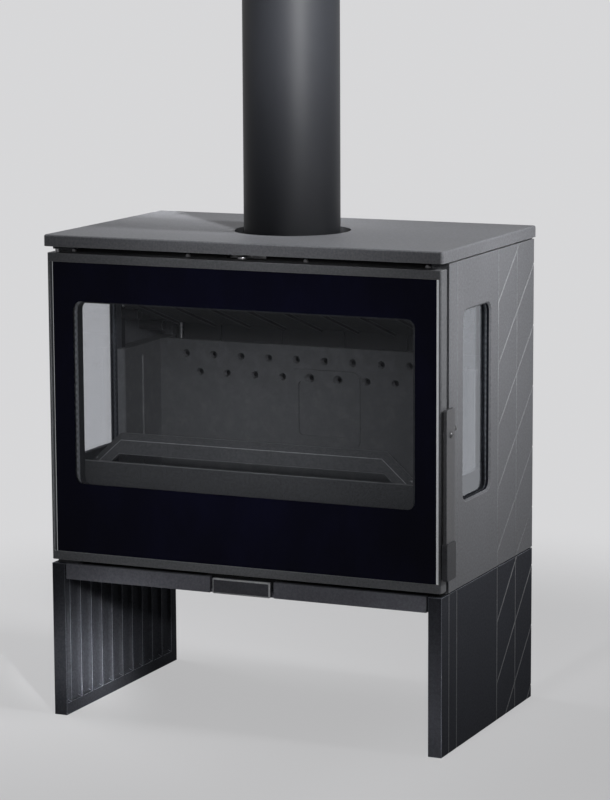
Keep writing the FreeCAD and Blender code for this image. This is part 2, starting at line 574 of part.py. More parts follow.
# Front header above the door opening, hollow behind, with a channel for the secondary air slide
header_y = (panel_front, panel_front + header_t)
chan_y = (header_y[0] + channel_wall, header_y[0] + channel_wall + sec_t + 2 * slide_gap)
header = block((-clear, clear), header_y, (header_z, top_under))
sec_holes = spread(sec_hole_n, sec_hole_pitch)
header_pitch = 2 * (inner - header_screw_inset) / (header_screw_n - 1)
header_points = [(x, header_screw_z) for x in spread(header_screw_n, header_pitch)]
recess = block((-clear + flange_w, clear - flange_w), (header_y[0] + header_web, header_y[1] + over),
               (header_z + header_web, channel_bottom - header_web))
header = cut(header, recess, block((-channel_half, channel_half), chan_y, (channel_bottom, top_under + over)),
             block((-knob_slot_half, knob_slot_half), (header_y[0] - over, chan_y[0] + over), knob_slot_z),
             *[rod("y", (x, sec_hole_z), sec_hole_r, (chan_y[1] - over, header_y[1] + over))
               for x in sec_holes],
             *[rod("y", p, m5, (header_y[0] - over, header_y[0] + header_screw_len)) for p in header_points])
export("header", header)
export("header_screws", Part.makeCompound(
    [screw("y", p, m5, header_y[0], header_y[0] + header_screw_len, m5) for p in header_points]))

# Secondary air slide: punched strip, and the flat knob above the door whose tenon is riveted into it
sec = block((-sec_half, sec_half), (chan_y[0] + slide_gap, chan_y[1] - slide_gap),
            (channel_bottom + slide_gap, top_under - sec_top_gap))
sec = cut(sec, rod("y", (0, knob_z), tenon_r + bolt_play, chan_y),
          *[rod("y", (x + sec_hole_pitch / 2, sec_hole_z), sec_hole_r, chan_y) for x in sec_holes])
export("secondary_slide", sec)
knob_span = (knob_z - knob_h / 2, knob_z + knob_h / 2)
stem = block((-stem_half, stem_half), (knob_front + knob_half, chan_y[0] + slide_gap), knob_span)
tenon = rod("y", (0, knob_z), tenon_r, (chan_y[0] + slide_gap, chan_y[1] - slide_gap))
knob = rod("z", (0, knob_front + knob_half), knob_half, knob_span)
knob = knob.makeFillet(knob_edge, [e for e in knob.Edges if e.Curve.TypeId == "Part::GeomCircle"])
export("secondary_knob", join(knob, stem, tenon))

# Front lip below the door opening
export("front_lip", block((-clear, clear), (panel_front, panel_front + lip_t), (base_top, lip_top)))

# Hearth: raised floor of the fire with its skirt and the seat of the grate
hearth_x = inner - hearth_gap
hearth_y = (panel_front + flange_t + hearth_gap, hearth_back)
hearth = block((-hearth_x, hearth_x), hearth_y, (base_top, hearth_z))
pit = block((-hearth_x + hearth_wall, hearth_x - hearth_wall),
            (hearth_y[0] + hearth_wall, hearth_y[1] - hearth_wall), (base_top - over, hearth_z - hearth_t))
seat = block((-grate_half[0] - slide_gap, grate_half[0] + slide_gap),
             (-grate_half[1] - slide_gap, grate_half[1] + slide_gap), (hearth_z - grate_seat, hearth_z + over))
throat = block((-pan_half[0] - pan_open, pan_half[0] + pan_open),
               (-pan_half[1] - pan_open, pan_half[1] + pan_open), (base_top, hearth_z + over))
export("hearth", cut(hearth, pit, seat, throat))

# Grate: bars between slots, lifted out by hand
grate = rounded("z", (-grate_half[0], grate_half[0]), (-grate_half[1], grate_half[1]),
                (hearth_z - grate_seat, hearth_z - grate_seat + grate_t), grate_round)
slots = [rounded("z", (x - grate_slot_w / 2, x + grate_slot_w / 2), (-grate_slot_half, grate_slot_half),
                 (hearth_z - grate_seat - over, hearth_z + grate_t), grate_slot_w / 2 - hair)
         for x in spread(grate_slot_n, grate_pitch)]
export("grate", cut(grate, *slots))

# Ash pan under the grate
pan = rounded("z", (-pan_half[0], pan_half[0]), (-pan_half[1], pan_half[1]),
              (base_top, base_top + pan_h), pan_round)
hollow = rounded("z", (-pan_half[0] + pan_t, pan_half[0] - pan_t),
                 (-pan_half[1] + pan_t, pan_half[1] - pan_t),
                 (base_top + pan_t, base_top + pan_h + over), pan_round - pan_t)
export("ash_pan", pan.cut(hollow))

# Firebox back with two staggered rows of air holes and a plain raised frame
fire = block((-lining_x, lining_x), (fire_y, fire_y + fire_t), (hearth_z, fire_top))
frame_out = rounded("y", (-badge_out, badge_out), (fire_y - badge_h, fire_y),
                    (badge_z - badge_out, badge_z + badge_out), badge_r)
frame_in = rounded("y", (-badge_in, badge_in), (fire_y - badge_h - over, fire_y),
                   (badge_z - badge_in, badge_z + badge_in), badge_r / 2)
rows = [(x, fire_hole_z[0]) for x in spread(2 * fire_hole_n + 1, fire_hole_pitch)]
rows += [(x, fire_hole_z[1]) for x in spread(2 * fire_hole_n, fire_hole_pitch)]
fire = cut(join(fire, frame_out.cut(frame_in)),
           *[rod("y", p, fire_hole_r, (fire_y - badge_h - over, fire_y + fire_t + over)) for p in rows])
export("firebox_back", fire)

# Linings behind the side windows: they stand on the hearth and lap over the glass frame, with one upright
# groove and a hollow back
lining = block((lining_x, inner), lining_y, lining_z)
lining = lining.makeFillet(lining_round, [e for e in along(lining, "z") if near(e.Vertexes[0].X, lining_x)
                                          and near(e.Vertexes[0].Y, lining_y[0])])
line = block((lining_x - over, lining_x + lining_groove_d),
             (lining_groove_y - lining_groove_w / 2, lining_groove_y + lining_groove_w / 2), lining_groove_z)
cavity = block((lining_x + lining_web, inner + over), (lining_y[0] + lining_rim, lining_y[1] - lining_rim),
               (lining_z[0] + lining_rim, lining_z[1] - lining_rim))
rebate = block((gframe_x[0], inner + over), (lining_y[0] - over, gframe_y[1]),
               (lining_z[0] - over, lining_z[1] + over))
both_sides("lining", cut(lining, line, cavity, rebate))

# Baffle: sloping ribbed plate that rests on four pegs
slope = (baffle_front[1] - baffle_rear[1]) / (baffle_front[0] - baffle_rear[0])
lean = math.atan(slope)


def baffle_under(y):
    """Height of the baffle's underside at a depth."""
    return baffle_rear[1] + slope * (y - baffle_rear[0])


thick_z = baffle_t / math.cos(lean)
baffle = prism("x", [baffle_rear, baffle_front, (baffle_front[0], baffle_front[1] + thick_z),
                     (baffle_rear[0], baffle_rear[1] + thick_z)], (-baffle_half, baffle_half))
rib_pitch = 2 * (baffle_half - 2 * peg_in) / (baffle_rib_n - 1)
bars = []
for x in spread(baffle_rib_n, rib_pitch):
    bars.append(prism("x", [(baffle_rear[0] - peg_r, baffle_under(baffle_rear[0] - peg_r) + 1),
                            (baffle_front[0] + peg_r, baffle_under(baffle_front[0] + peg_r) + 1),
                            (baffle_front[0] + peg_r, baffle_under(baffle_front[0] + peg_r) - baffle_rib_h),
                            (baffle_rear[0] - peg_r, baffle_under(baffle_rear[0] - peg_r) - baffle_rib_h)],
                      (x - baffle_rib_w / 2, x + baffle_rib_w / 2)))
export("baffle", join(baffle, *bars))
pegs = []
for y in peg_y:
    drop = peg_r / math.cos(lean)
    outer = inner if y > gframe_y[1] else gframe_x[0]
    for s in (-1, 1):
        pegs.append(rod("x", (y, baffle_under(y) - drop), peg_r, (s * outer, s * (lining_x - peg_in))))
export("baffle_pegs", Part.makeCompound(pegs))

# Rear tie rods that draw the top plate and the base plate together
rods = []
for s in (-1, 1):
    at = (s * rod_x, rod_y)
    flat = rod_r * head_k
    hexagon = [(at[0] + flat * math.cos(i * math.pi / 3), at[1] + flat * math.sin(i * math.pi / 3))
               for i in range(6)]
    rods.append(join(rod("z", at, rod_r, (base_under - nut_h, top_under + rod_in)),
                     prism("z", hexagon, (base_under - nut_h, base_under))))
export("tie_rods", Part.makeCompound(rods))

# Log retainer: low bridge standing on the front lip, hooked behind it
outline = [(-ret_foot, lip_top), (-ret_shoulder, ret_top), (ret_shoulder, ret_top), (ret_foot, lip_top)]
ret_y = (ret_front, ret_front + ret_t)
retainer = prism("y", outline, ret_y)
gap = prism("y", [(-ret_slot_foot, lip_top - over), (-ret_slot_foot, lip_top), (-ret_slot_top, ret_slot_z),
                  (ret_slot_top, ret_slot_z), (ret_slot_foot, lip_top), (ret_slot_foot, lip_top - over)],
            (ret_y[0] - over, ret_y[1] + over))
retainer = cut(retainer, gap)
ridge = [e for e in retainer.Edges if all(near(v.Y, ret_front) and v.Z > lip_top - 1 for v in e.Vertexes)
         and e.BoundBox.ZMax > ret_slot_z + 1]
retainer = retainer.makeChamfer(ret_bevel, ridge)
lip_back = panel_front + lip_t
hook_back = lip_back + slide_gap + ret_hook_t
hooks = [block((s * ret_hook_x[0], s * ret_hook_x[1]), (lip_back + slide_gap, hook_back),
               (lip_top - ret_hook_h, lip_top + ret_hook_up)) for s in (-1, 1)]
export("log_retainer", join(retainer, *hooks))

# Door frame: thin cast rim with a narrow front lip
door_x = (-door_w / 2, door_w / 2)
rim = rounded("z", door_x, (door_front, door_back), door_z, door_round)
rim = rim.makeChamfer(door_edge, [e for e in rim.Edges if all(near(v.Y, door_front) for v in e.Vertexes)
                                  and e.Curve.TypeId == "Part::GeomLine"])
cav_x = (door_x[0] + rim_wall, door_x[1] - rim_wall)
cav_z = (door_z[0] + rim_wall, door_z[1] - rim_wall)
lip_x = (cav_x[0] + rim_lip, cav_x[1] - rim_lip)
lip_z = (door_z[0] + rim_bottom_strip, door_z[1] - rim_top_strip)
cavity = block(cav_x, (door_front + rim_lip_t, door_back + over), cav_z)
sight = block(lip_x, (door_front - over, door_back), lip_z)
pins = [rod("z", (hinge_x, hinge_y), hinge_r + run_fit, span) for span in
        ((door_z[1] - hinge_in, door_z[1] + over), (door_z[0] - over, door_z[0] + hinge_in))]
shaft_bore = rod("x", (pivot_y, pivot_z), shaft_r + run_fit, (pocket_x[0] - over, door_x[1] + over))
door_points = [(x, hinge_y) for x in (-door_screw_half, 0, door_screw_half)]
faces = ((door_z[0], 1), (door_z[1], -1))
screw_ways = [t for p in door_points for face, way in faces
              for t in flat_hole(p, m5, face, face + way * (rim_wall + inner_gap))]
rim = cut(rim, cavity, sight, *pins, shaft_bore, *screw_ways)
export("door_frame", rim)

# Door glass behind the lip, its gasket and the inner frame that clamps it
pane_front = door_front + rim_lip_t
fit_x = (cav_x[0] + inner_gap, cav_x[1] - inner_gap)
fit_z = (cav_z[0] + inner_gap, cav_z[1] - inner_gap)
export("door_glass", block(fit_x, (pane_front, pane_front + glass_t), fit_z))
gasket_y = (pane_front + glass_t, pane_front + glass_t + glass_gasket_t)
window_x = (-window_half, window_half)
wide_x = (window_x[0] - glass_gasket_w, window_x[1] + glass_gasket_w)
wide_z = (window_z[0] - glass_gasket_w, window_z[1] + glass_gasket_w)
gasket = rounded("y", wide_x, gasket_y, wide_z, window_r + glass_gasket_w)
light = rounded("y", window_x, (gasket_y[0] - over, door_back + over), window_z, window_r)
export("door_gasket", gasket.cut(light))
core_y = (gasket_y[1], door_back)
core = cut(block(fit_x, core_y, fit_z), light)
rope_y = (door_back - rope_depth, panel_front - seal_gap)
groove_out = rounded("y", (-rope_x - rope_w / 2, rope_x + rope_w / 2), (rope_y[0], door_back + over),
                     (rope_z[0] - rope_w / 2, rope_z[1] + rope_w / 2), rope_w)
groove_in = rounded("y", (-rope_x + rope_w / 2, rope_x - rope_w / 2), (rope_y[0] - over, panel_front + over),
                    (rope_z[0] + rope_w / 2, rope_z[1] - rope_w / 2), rope_w / 2)
pocket = block(pocket_x, (core_y[0] - over, door_back + over), pocket_z)
taps = [rod("z", p, m5, (face, face + way * (door_screw_len + over))) for p in door_points
        for face, way in faces]
core_x = (-wide_x[1] + window_r + core_land, wide_x[1] - window_r - core_land)
thin = [block(core_x, (core_y[0] - over, core_y[1] - core_web), z) for z in
        ((fit_z[0] + core_rim, wide_z[0] - core_land), (wide_z[1] + core_land, fit_z[1] - core_rim))]
core = cut(core, groove_out.cut(groove_in), pocket, *pins, shaft_bore, *taps, *thin)
export("door_inner_frame", core)
rope_out = rounded("y", (-rope_x - rope_w / 2, rope_x + rope_w / 2), rope_y,
                   (rope_z[0] - rope_w / 2, rope_z[1] + rope_w / 2), rope_w)
rope = rope_out.cut(groove_in)
rope = rope.makeFillet(rope_edge, [e for e in rope.Edges if all(near(v.Y, rope_y[1]) for v in e.Vertexes)])
export("door_rope", rope)
export("door_screws", Part.makeCompound(
    [flat_screw(p, m5, face, face + way * door_screw_len) for p in door_points for face, way in faces]))

# Hinge brackets above and below the door, their pins and the washer that carries the door
bracket = rounded("z", bracket_x, bracket_y, (0, bracket_t), bracket_round)
upper = bracket.translated(V(0, 0, top_under - bracket_t))
lower = bracket.translated(V(0, 0, base_top))
pin_hole = rod("z", (hinge_x, hinge_y), hinge_r, (base_top - over, top_z))
export("hinge_bracket_top", upper.cut(pin_hole))
export("hinge_bracket_bottom", lower.cut(pin_hole))
reach = hinge_in - slide_gap
top_pin = rod("z", (hinge_x, hinge_y), hinge_r, (door_z[1] - reach, top_under))
low_pin = rod("z", (hinge_x, hinge_y), hinge_r, (base_top, door_z[0] + reach))
export("hinge_pins", Part.makeCompound([top_pin, low_pin]))
washer = rod("z", (hinge_x, hinge_y), washer_r, (base_top + bracket_t, door_z[0] - washer_play))
export("hinge_washer", washer.cut(pin_hole))

# Handle: flat lever hanging beside the door, its grip, and the shaft that turns the latch hook
lever_x = (door_x[1] + lever_gap, door_x[1] + lever_gap + lever_t)
lever_y = (pivot_y - lever_w / 2, pivot_y + lever_w / 2)
lever = rounded("x", lever_x, lever_y, (lever_bottom, lever_top), lever_round)
lever = lever.cut(rod("x", (pivot_y, pivot_z), shaft_r, (lever_x[0] - over, lever_x[1] + over)))
export("handle_lever", lever)
grip_x = (lever_x[0] - grip_in, lever_x[1] + grip_wall)
grip_y = (lever_y[0] - grip_wall, lever_y[1] + grip_wall)
grip = rounded("x", grip_x, grip_y, (grip_bottom, grip_top), lever_round + grip_wall)
grip = grip.makeFillet(grip_edge, [e for e in grip.Edges if all(near(v.X, grip_x[1]) for v in e.Vertexes)])
export("handle_grip", grip.cut(rounded("x", lever_x, lever_y, (lever_bottom, lever_top), lever_round)))
shaft = rod("x", (pivot_y, pivot_z), shaft_r, (hook_x[0], lever_x[1]))
shoulder = rod("x", (pivot_y, pivot_z), collar_r, (door_x[1] + slide_gap, lever_x[0]))
tap = rod("x", (pivot_y, pivot_z), m5, (lever_x[1] - door_screw_len, lever_x[1] + over))
export("latch_shaft", cut(join(shaft, shoulder), tap))
thread = rod("x", (pivot_y, pivot_z), m5, (lever_x[1] - door_screw_len, lever_x[1]))
export("handle_screw", join(thread, dome((pivot_y, pivot_z), lever_x[1])))
tooth_z = stud_z - stud_r - latch_gap
arm_z = (tooth_z - hook_tooth_h - hook_arm_h, tooth_z - hook_tooth_h)
tip_y = pivot_y + hook_reach
arm = prism("x", [(pivot_y - hook_neck[0], pivot_z - hook_neck[1]), (pivot_y + hook_bend, arm_z[0]),
                  (tip_y, arm_z[0]), (tip_y, tooth_z), (tip_y - hook_tooth_w, tooth_z),
                  (tip_y - hook_tooth_w, arm_z[1]), (pivot_y + hook_bend, arm_z[1]),
                  (pivot_y + hook_neck[0], pivot_z + hook_neck[1])], hook_x)
hub = rod("x", (pivot_y, pivot_z), hook_hub, hook_x)
hook_bore = rod("x", (pivot_y, pivot_z), shaft_r, (hook_x[0] - over, hook_x[1] + over))
export("latch_hook", cut(join(hub, arm), hook_bore))
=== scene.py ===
import json
import math

import bpy
from mathutils import Euler, Matrix, Vector

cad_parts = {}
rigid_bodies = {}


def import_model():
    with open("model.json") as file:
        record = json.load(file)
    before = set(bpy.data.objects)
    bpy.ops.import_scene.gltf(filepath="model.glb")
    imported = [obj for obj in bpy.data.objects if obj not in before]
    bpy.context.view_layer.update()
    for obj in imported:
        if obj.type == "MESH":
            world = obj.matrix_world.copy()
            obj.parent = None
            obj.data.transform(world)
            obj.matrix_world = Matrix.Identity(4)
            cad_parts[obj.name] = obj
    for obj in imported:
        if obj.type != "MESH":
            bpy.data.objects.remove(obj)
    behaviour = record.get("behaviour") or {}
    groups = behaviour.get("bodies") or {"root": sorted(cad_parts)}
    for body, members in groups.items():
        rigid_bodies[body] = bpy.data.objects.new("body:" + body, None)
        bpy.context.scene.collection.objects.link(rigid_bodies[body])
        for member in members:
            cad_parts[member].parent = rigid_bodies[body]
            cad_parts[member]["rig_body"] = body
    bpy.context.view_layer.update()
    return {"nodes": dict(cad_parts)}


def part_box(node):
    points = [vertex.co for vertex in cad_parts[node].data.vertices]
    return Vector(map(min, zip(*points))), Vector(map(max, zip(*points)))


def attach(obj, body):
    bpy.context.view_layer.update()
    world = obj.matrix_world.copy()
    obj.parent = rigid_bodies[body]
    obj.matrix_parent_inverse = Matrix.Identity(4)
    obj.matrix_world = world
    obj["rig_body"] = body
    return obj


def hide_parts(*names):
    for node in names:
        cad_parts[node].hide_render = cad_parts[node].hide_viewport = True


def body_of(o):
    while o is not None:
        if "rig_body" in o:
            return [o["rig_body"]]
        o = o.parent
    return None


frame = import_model()


# Legs: two cast iron panels that carry the stove, bolted up under the base plate. Each is one sand casting
# in matt charcoal paint, with flutes between ribs on the inside. Fine lines are cast into the outside:
# uprights over the whole height, and slanting lines behind the third upright.
# The legs' edge colour is a painted highlight, far paler than the paint, for the rounded edges.
LEG_IRON, LEG_HIGHLIGHT, LEG_LINE = (0.056, 0.0588, 0.0690), (0.325, 0.348, 0.400), (0.220, 0.225, 0.235)
# Painted shade: the front colour darkens the legs' front faces below the rest of the paint.
LEG_FRONT_SHADE = (0.0390, 0.0405, 0.0475)
LEG_LIP = 0.0045            # outer lip beside the base plate
LEG_FRONT_LIP = 0.0085      # front lip before the base plate
FLUTES, FLUTE_PITCH, RIB = 10, 0.0353, 0.005
FLUTE_DEPTH, FLUTE_FOOT, FLUTE_HEAD, FLUTE_ROUND = 0.0055, 0.019, 0.010, 0.0052
FIRST_FLUTE = (0.0045, 0.0165)      # the narrow one along the front, from the front face
LEG_BACK_CHAMFER, LEG_ROUND = 0.005, 0.0009
LINE_DEPTH, LINE_LIFT, LINE_SIDES = 0.0015, 0.0003, 4      # a square bar on its edge cuts a line
LINE_PLACES = (-0.133, 0.040, 0.122)
LEG_LINE_PLACES = (-0.165,) + LINE_PLACES
LEG_SLOPE, LEG_PITCH, LEG_FIRST = 1.0, 0.098, 0.156
OVER = 0.004                # how far a cutting body runs past the face that it cuts
SMOOTH, SHARP = math.radians(38), math.radians(32)
# The edge slot holds a painted highlight for rounded edges; the slot for single faces holds painted shade.
PLAIN_SLOT, EDGE_SLOT, LINE_SLOT, OWN_SLOT = range(4)       # main finish, edges, cast lines, single faces
X, Y, Z = 0, 1, 2


class Value:
    """One output of a shader node, which takes part in plain expressions."""

    def __init__(self, finish, socket):
        self.finish, self.socket = finish, socket

    def math(self, operation, a, b):
        return self.finish.add("Math", {"operation": operation}, {0: a, 1: b})

    def __add__(self, other):
        return self.math("ADD", self, other)

    def __sub__(self, other):
        return self.math("SUBTRACT", self, other)

    def __rsub__(self, other):
        return self.math("SUBTRACT", other, self)

    def __mul__(self, other):
        return self.math("MULTIPLY", self, other)

    __radd__, __rmul__ = __add__, __mul__

    def step(self, low, high, start=0.0, end=1.0):
        """Smooth change from one level to another between two limits."""
        return self.finish.add("MapRange", {"interpolation_type": "SMOOTHSTEP"}, {
            "Value": self, "From Min": low, "From Max": high, "To Min": start, "To Max": end})


class Finish:
    """A material, or the world, and the nodes that are added to it."""

    def __init__(self, name, tree=None):
        self.material = None if tree else bpy.data.materials.new(name)
        if self.material:
            self.material.use_nodes = True
        self.tree = tree or self.material.node_tree
        self.tree.nodes.clear()

    def add(self, kind, settings=None, sockets=None, out=0):
        node = self.tree.nodes.new("ShaderNode" + kind)
        for key, value in (settings or {}).items():
            setattr(node, key, value)
        for key, value in (sockets or {}).items():
            if isinstance(value, Value):
                self.tree.links.new(value.socket, node.inputs[key])
            else:
                node.inputs[key].default_value = value
        return Value(self, node.outputs[out])

    def spot(self, stretch=(1, 1, 1)):
        """Place on the piece in metres, stretched along the axes."""
        place = self.add("TexCoord", out="Object")
        return self.add("Mapping", {}, {"Vector": place, "Scale": stretch})

    def noise(self, spot, scale, detail=2.0, roughness=0.5):
        return self.add("TexNoise", {}, {
            "Vector": spot, "Scale": scale, "Detail": detail, "Roughness": roughness})

    def tint(self, share, a, b):
        """Colour a where the share is 0 and b where it is 1."""
        return self.add("Mix", {"data_type": "RGBA"}, {0: share, 6: (*a, 1), 7: (*b, 1)}, out=2)

    def skin(self, sockets, height=None):
        """Principled shader; height is that of its surface in metres."""
        if height is not None:
            sockets = {**sockets, "Normal": self.add("Bump", {}, {"Height": height, "Distance": 1.0})}
        return self.add("BsdfPrincipled", {}, sockets)

    def close(self, shader):
        """Gives a shader to the output."""
        kind = "ShaderNodeOutputMaterial" if self.material else "ShaderNodeOutputWorld"
        self.tree.links.new(shader.socket, self.tree.nodes.new(kind).inputs["Surface"])
        return self.material


def shade(colour, factor):
    """A colour made darker or paler."""
    return tuple(c * factor for c in colour)


def cast_iron(name, colour, rough=0.56, grain=1.0, shine=0.2):
    """Stove paint on a sand-cast skin: slow mottling, sandy grain and a dusting of paler specks."""
    paint = Finish(name)
    spot = paint.spot()
    mottle = paint.noise(spot, scale=7, detail=3).step(0.3, 0.7)
    sand = paint.noise(spot, scale=270, detail=3, roughness=0.7)
    pits = paint.noise(spot, scale=900, detail=2, roughness=0.6)
    share = mottle * 0.25 + sand.step(0.32, 0.68) * 0.50 + pits.step(0.35, 0.65) * 0.25
    return paint.close(paint.skin({
        "Base Color": paint.tint(share, shade(colour, 0.70), shade(colour, 1.30)),
        "Roughness": rough + (mottle - 0.5) * 0.08 + (sand - 0.5) * 0.12,
        "Specular IOR Level": shine}, (sand * 0.00012 + pits * 0.00003) * grain))


def fresh():
    """Back to object mode with nothing selected."""
    if bpy.context.mode != "OBJECT":
        bpy.ops.object.mode_set(mode="OBJECT")
    bpy.ops.object.select_all(action="DESELECT")


def take(piece):
    """Makes a piece the only one selected."""
    fresh()
    piece.select_set(True)
    bpy.context.view_layer.objects.active = piece


def settle(name, finishes=()):
    """Puts a new primitive's place into its mesh, names it and gives it its finishes."""
    bpy.ops.object.transform_apply(location=True, rotation=True, scale=True)
    piece = bpy.context.object
    piece.name = name
    for finish in finishes:
        piece.data.materials.append(finish)
    return piece


def block(name, low, high, *finishes):
    """Box between two corners."""
    low, high = Vector(low), Vector(high)
    fresh()
    bpy.ops.mesh.primitive_cube_add(size=1, location=(low + high) / 2, scale=high - low)
    return settle(name, finishes)


def bar(name, start, end, radius, sides, *finishes):
    """Bar of a regular section between two points."""
    start, end = Vector(start), Vector(end)
    fresh()
    bpy.ops.mesh.primitive_cylinder_add(
        vertices=sides, radius=radius, depth=(end - start).length, location=(start + end) / 2,
        rotation=(end - start).to_track_quat("Z", "Y").to_euler())
    return settle(name, finishes)


def pick(piece, kind, test):
    """Opens a piece for editing and selects the edges or faces whose middle and direction pass a test."""
    take(piece)
    bpy.ops.object.mode_set(mode="EDIT")
    bpy.ops.mesh.select_mode(type=kind)
    bpy.ops.mesh.select_all(action="DESELECT")
    bpy.ops.object.mode_set(mode="OBJECT")
    points = piece.data.vertices
    for face in piece.data.polygons if kind == "FACE" else ():
        face.select = test(face.center, face.normal)
    for edge in piece.data.edges if kind == "EDGE" else ():
        a, b = (points[i].co for i in edge.vertices)
        edge.select = test((a + b) / 2, (b - a).normalized())
    bpy.ops.object.mode_set(mode="EDIT")


def round_off(piece, radius, test, segments=1):
    """Chamfers the edges that pass a test, or rounds them with more segments."""
    pick(piece, "EDGE", test)
    bpy.ops.mesh.bevel(offset=radius, segments=segments, affect="EDGES")
    fresh()
    return piece


def near(a, b):
    return abs(a - b) < 1e-5


def along(way, axis):
    """Whether a direction runs along an axis."""
    return abs(way[axis]) > 0.9


def repaint(piece, slot, test):
    """Gives the faces that pass a test the finish of another slot."""
    pick(piece, "FACE", test)
    piece.active_material_index = slot
    bpy.ops.object.material_slot_assign()
    fresh()


def apply(piece, kind, **settings):
    """Adds a modifier with its settings and applies it."""
    take(piece)
    bpy.ops.object.modifier_add(type=kind)
    modifier = piece.modifiers[-1]
    for key, value in settings.items():
        setattr(modifier, key, value)
    bpy.ops.object.modifier_apply(modifier=modifier.name)
    return piece


def carve(piece, *cutters):
    """Takes cutting bodies away from a piece. A cut face gets the cutting body's finish, if it has one."""
    for cutter in cutters:
        mode = "TRANSFER" if len(cutter.data.materials) else "INDEX"
        apply(piece, "BOOLEAN", object=cutter, solver="EXACT", material_mode=mode)
        bpy.data.objects.remove(cutter)
    return piece


def merge(piece):
    """Joins points that lie in one place."""
    take(piece)
    bpy.ops.object.mode_set(mode="EDIT")
    bpy.ops.mesh.select_all(action="SELECT")
    bpy.ops.mesh.remove_doubles(threshold=2e-6)
    fresh()
    return piece


def soften(piece, width, segments=2, edge_slot=-1):
    """Rounds each sharp edge of a piece a little, so that it catches the light, but not its cast lines."""
    beside = {}
    for face in piece.data.polygons:
        for key in face.edge_keys:
            beside.setdefault(key, []).append(face)
    weights = piece.data.attributes.new("bevel_weight_edge", "FLOAT", "EDGE")
    for edge, weight in zip(piece.data.edges, weights.data):
        faces = beside[edge.key]
        plain = len(faces) == 2 and all(face.material_index != LINE_SLOT for face in faces)
        weight.value = float(plain and faces[0].normal.angle(faces[1].normal) > SHARP)
    # Painted highlight: where an edge slot is given, the rounded faces take its paler finish.
    return apply(piece, "BEVEL", width=width, segments=segments, limit_method="WEIGHT",
                 material=edge_slot)


def mirrored(piece, name):
    """The same piece for the other side, with a mesh of its own."""
    take(piece)
    bpy.ops.object.duplicate()
    twin = bpy.context.object
    twin.name = name
    bpy.ops.object.mode_set(mode="EDIT")
    bpy.ops.mesh.select_all(action="SELECT")
    bpy.ops.transform.resize(value=(-1, 1, 1), center_override=(0, 0, 0))
    bpy.ops.mesh.remove_doubles(threshold=1e-6)
    bpy.ops.mesh.normals_make_consistent(inside=False)
    fresh()
    return twin


def stand_for(piece, *nodes):
    """Smooths a finished piece and puts it in the place of CAD nodes, with their body."""
    take(piece)
    bpy.ops.object.shade_smooth_by_angle(angle=SMOOTH)
    apply(piece, "WEIGHTED_NORMAL", keep_sharp=True)
    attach(piece, body_of(frame["nodes"][nodes[0]])[0])
    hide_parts(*nodes)
    return piece


def engrave(piece, face, low, high, uprights, slope, pitch, first, finish):
    """Cast lines on an outer side face: uprights, and slanting lines behind the panel's middle one."""
    face += LINE_LIFT
    ends = [((face, y, low.z - OVER), (face, y, high.z + OVER)) for y in uprights]
    start, back = LINE_PLACES[1], high.y + OVER
    rise = (back - start) * slope
    for i in range(int((first - low.z + rise) / pitch) + 1):
        z = first - i * pitch
        ends.append(((face, start, z), (face, back, z + rise)))
    carve(piece, *[bar("line", a, b, LINE_DEPTH + LINE_LIFT, LINE_SIDES, finish) for a, b in ends])
    return merge(piece)


leg_iron = cast_iron("leg_iron", LEG_IRON, rough=0.60, shine=0.01)
leg_front_shade = cast_iron("leg_front_shade", LEG_FRONT_SHADE, rough=0.60, shine=0.01)
leg_highlight = cast_iron("leg_highlight", LEG_HIGHLIGHT, rough=0.45)
leg_line = cast_iron("leg_line", LEG_LINE, rough=0.5)
low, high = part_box("leg_right")
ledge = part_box("base_plate")[0].z
leg = block("leg_casting_right", low, high, leg_iron, leg_highlight)
carve(leg, block("ledge", (low.x - OVER, low.y + LEG_FRONT_LIP, ledge),
                 (high.x - LEG_LIP, high.y + OVER, high.z + OVER)))
round_off(leg, LEG_BACK_CHAMFER,
          lambda mid, way: along(way, Z) and near(mid.y, high.y) and near(mid.x, low.x))
floor_x = low.x + FLUTE_DEPTH
spans = [tuple(low.y + reach for reach in FIRST_FLUTE)]
for i in range(FLUTES):
    y = (i - (FLUTES - 1) / 2) * FLUTE_PITCH
    wide = (FLUTE_PITCH - RIB) / 2
    spans.append((y - wide, y + wide))
for front, back in spans:
    flute = block("flute", (low.x - OVER, front, FLUTE_FOOT), (floor_x, back, ledge - FLUTE_HEAD))
    round_off(flute, FLUTE_ROUND, lambda mid, way: near(mid.x, floor_x), segments=5)
    carve(leg, flute)
engrave(leg, high.x, low, high, LEG_LINE_PLACES, LEG_SLOPE, LEG_PITCH, LEG_FIRST, leg_line)
soften(leg, LEG_ROUND, segments=3, edge_slot=EDGE_SLOT)
# Painted shade: the front faces take the darker front colour.
leg.data.materials.append(leg_front_shade)
repaint(leg, OWN_SLOT, lambda mid, way: near(mid.y, low.y) and along(way, Y))
twin = mirrored(leg, "leg_casting_left")
stand_for(leg, "leg_right")
stand_for(twin, "leg_left")


# Base plate and what hangs under it: a cast floor plate with a raised pad behind the pull tab, and the
# folded air box that guides the primary air slide. Steel bolts hold the legs up to the plate, and rods at
# the rear tie it to the top plate.
BASE_SHADE, SHEET, STEEL = (0.014, 0.0143, 0.015), (0.050, 0.050, 0.052), (0.42, 0.42, 0.43)
BASE_ROUND, BOX_ROUND = 0.0008, 0.0004


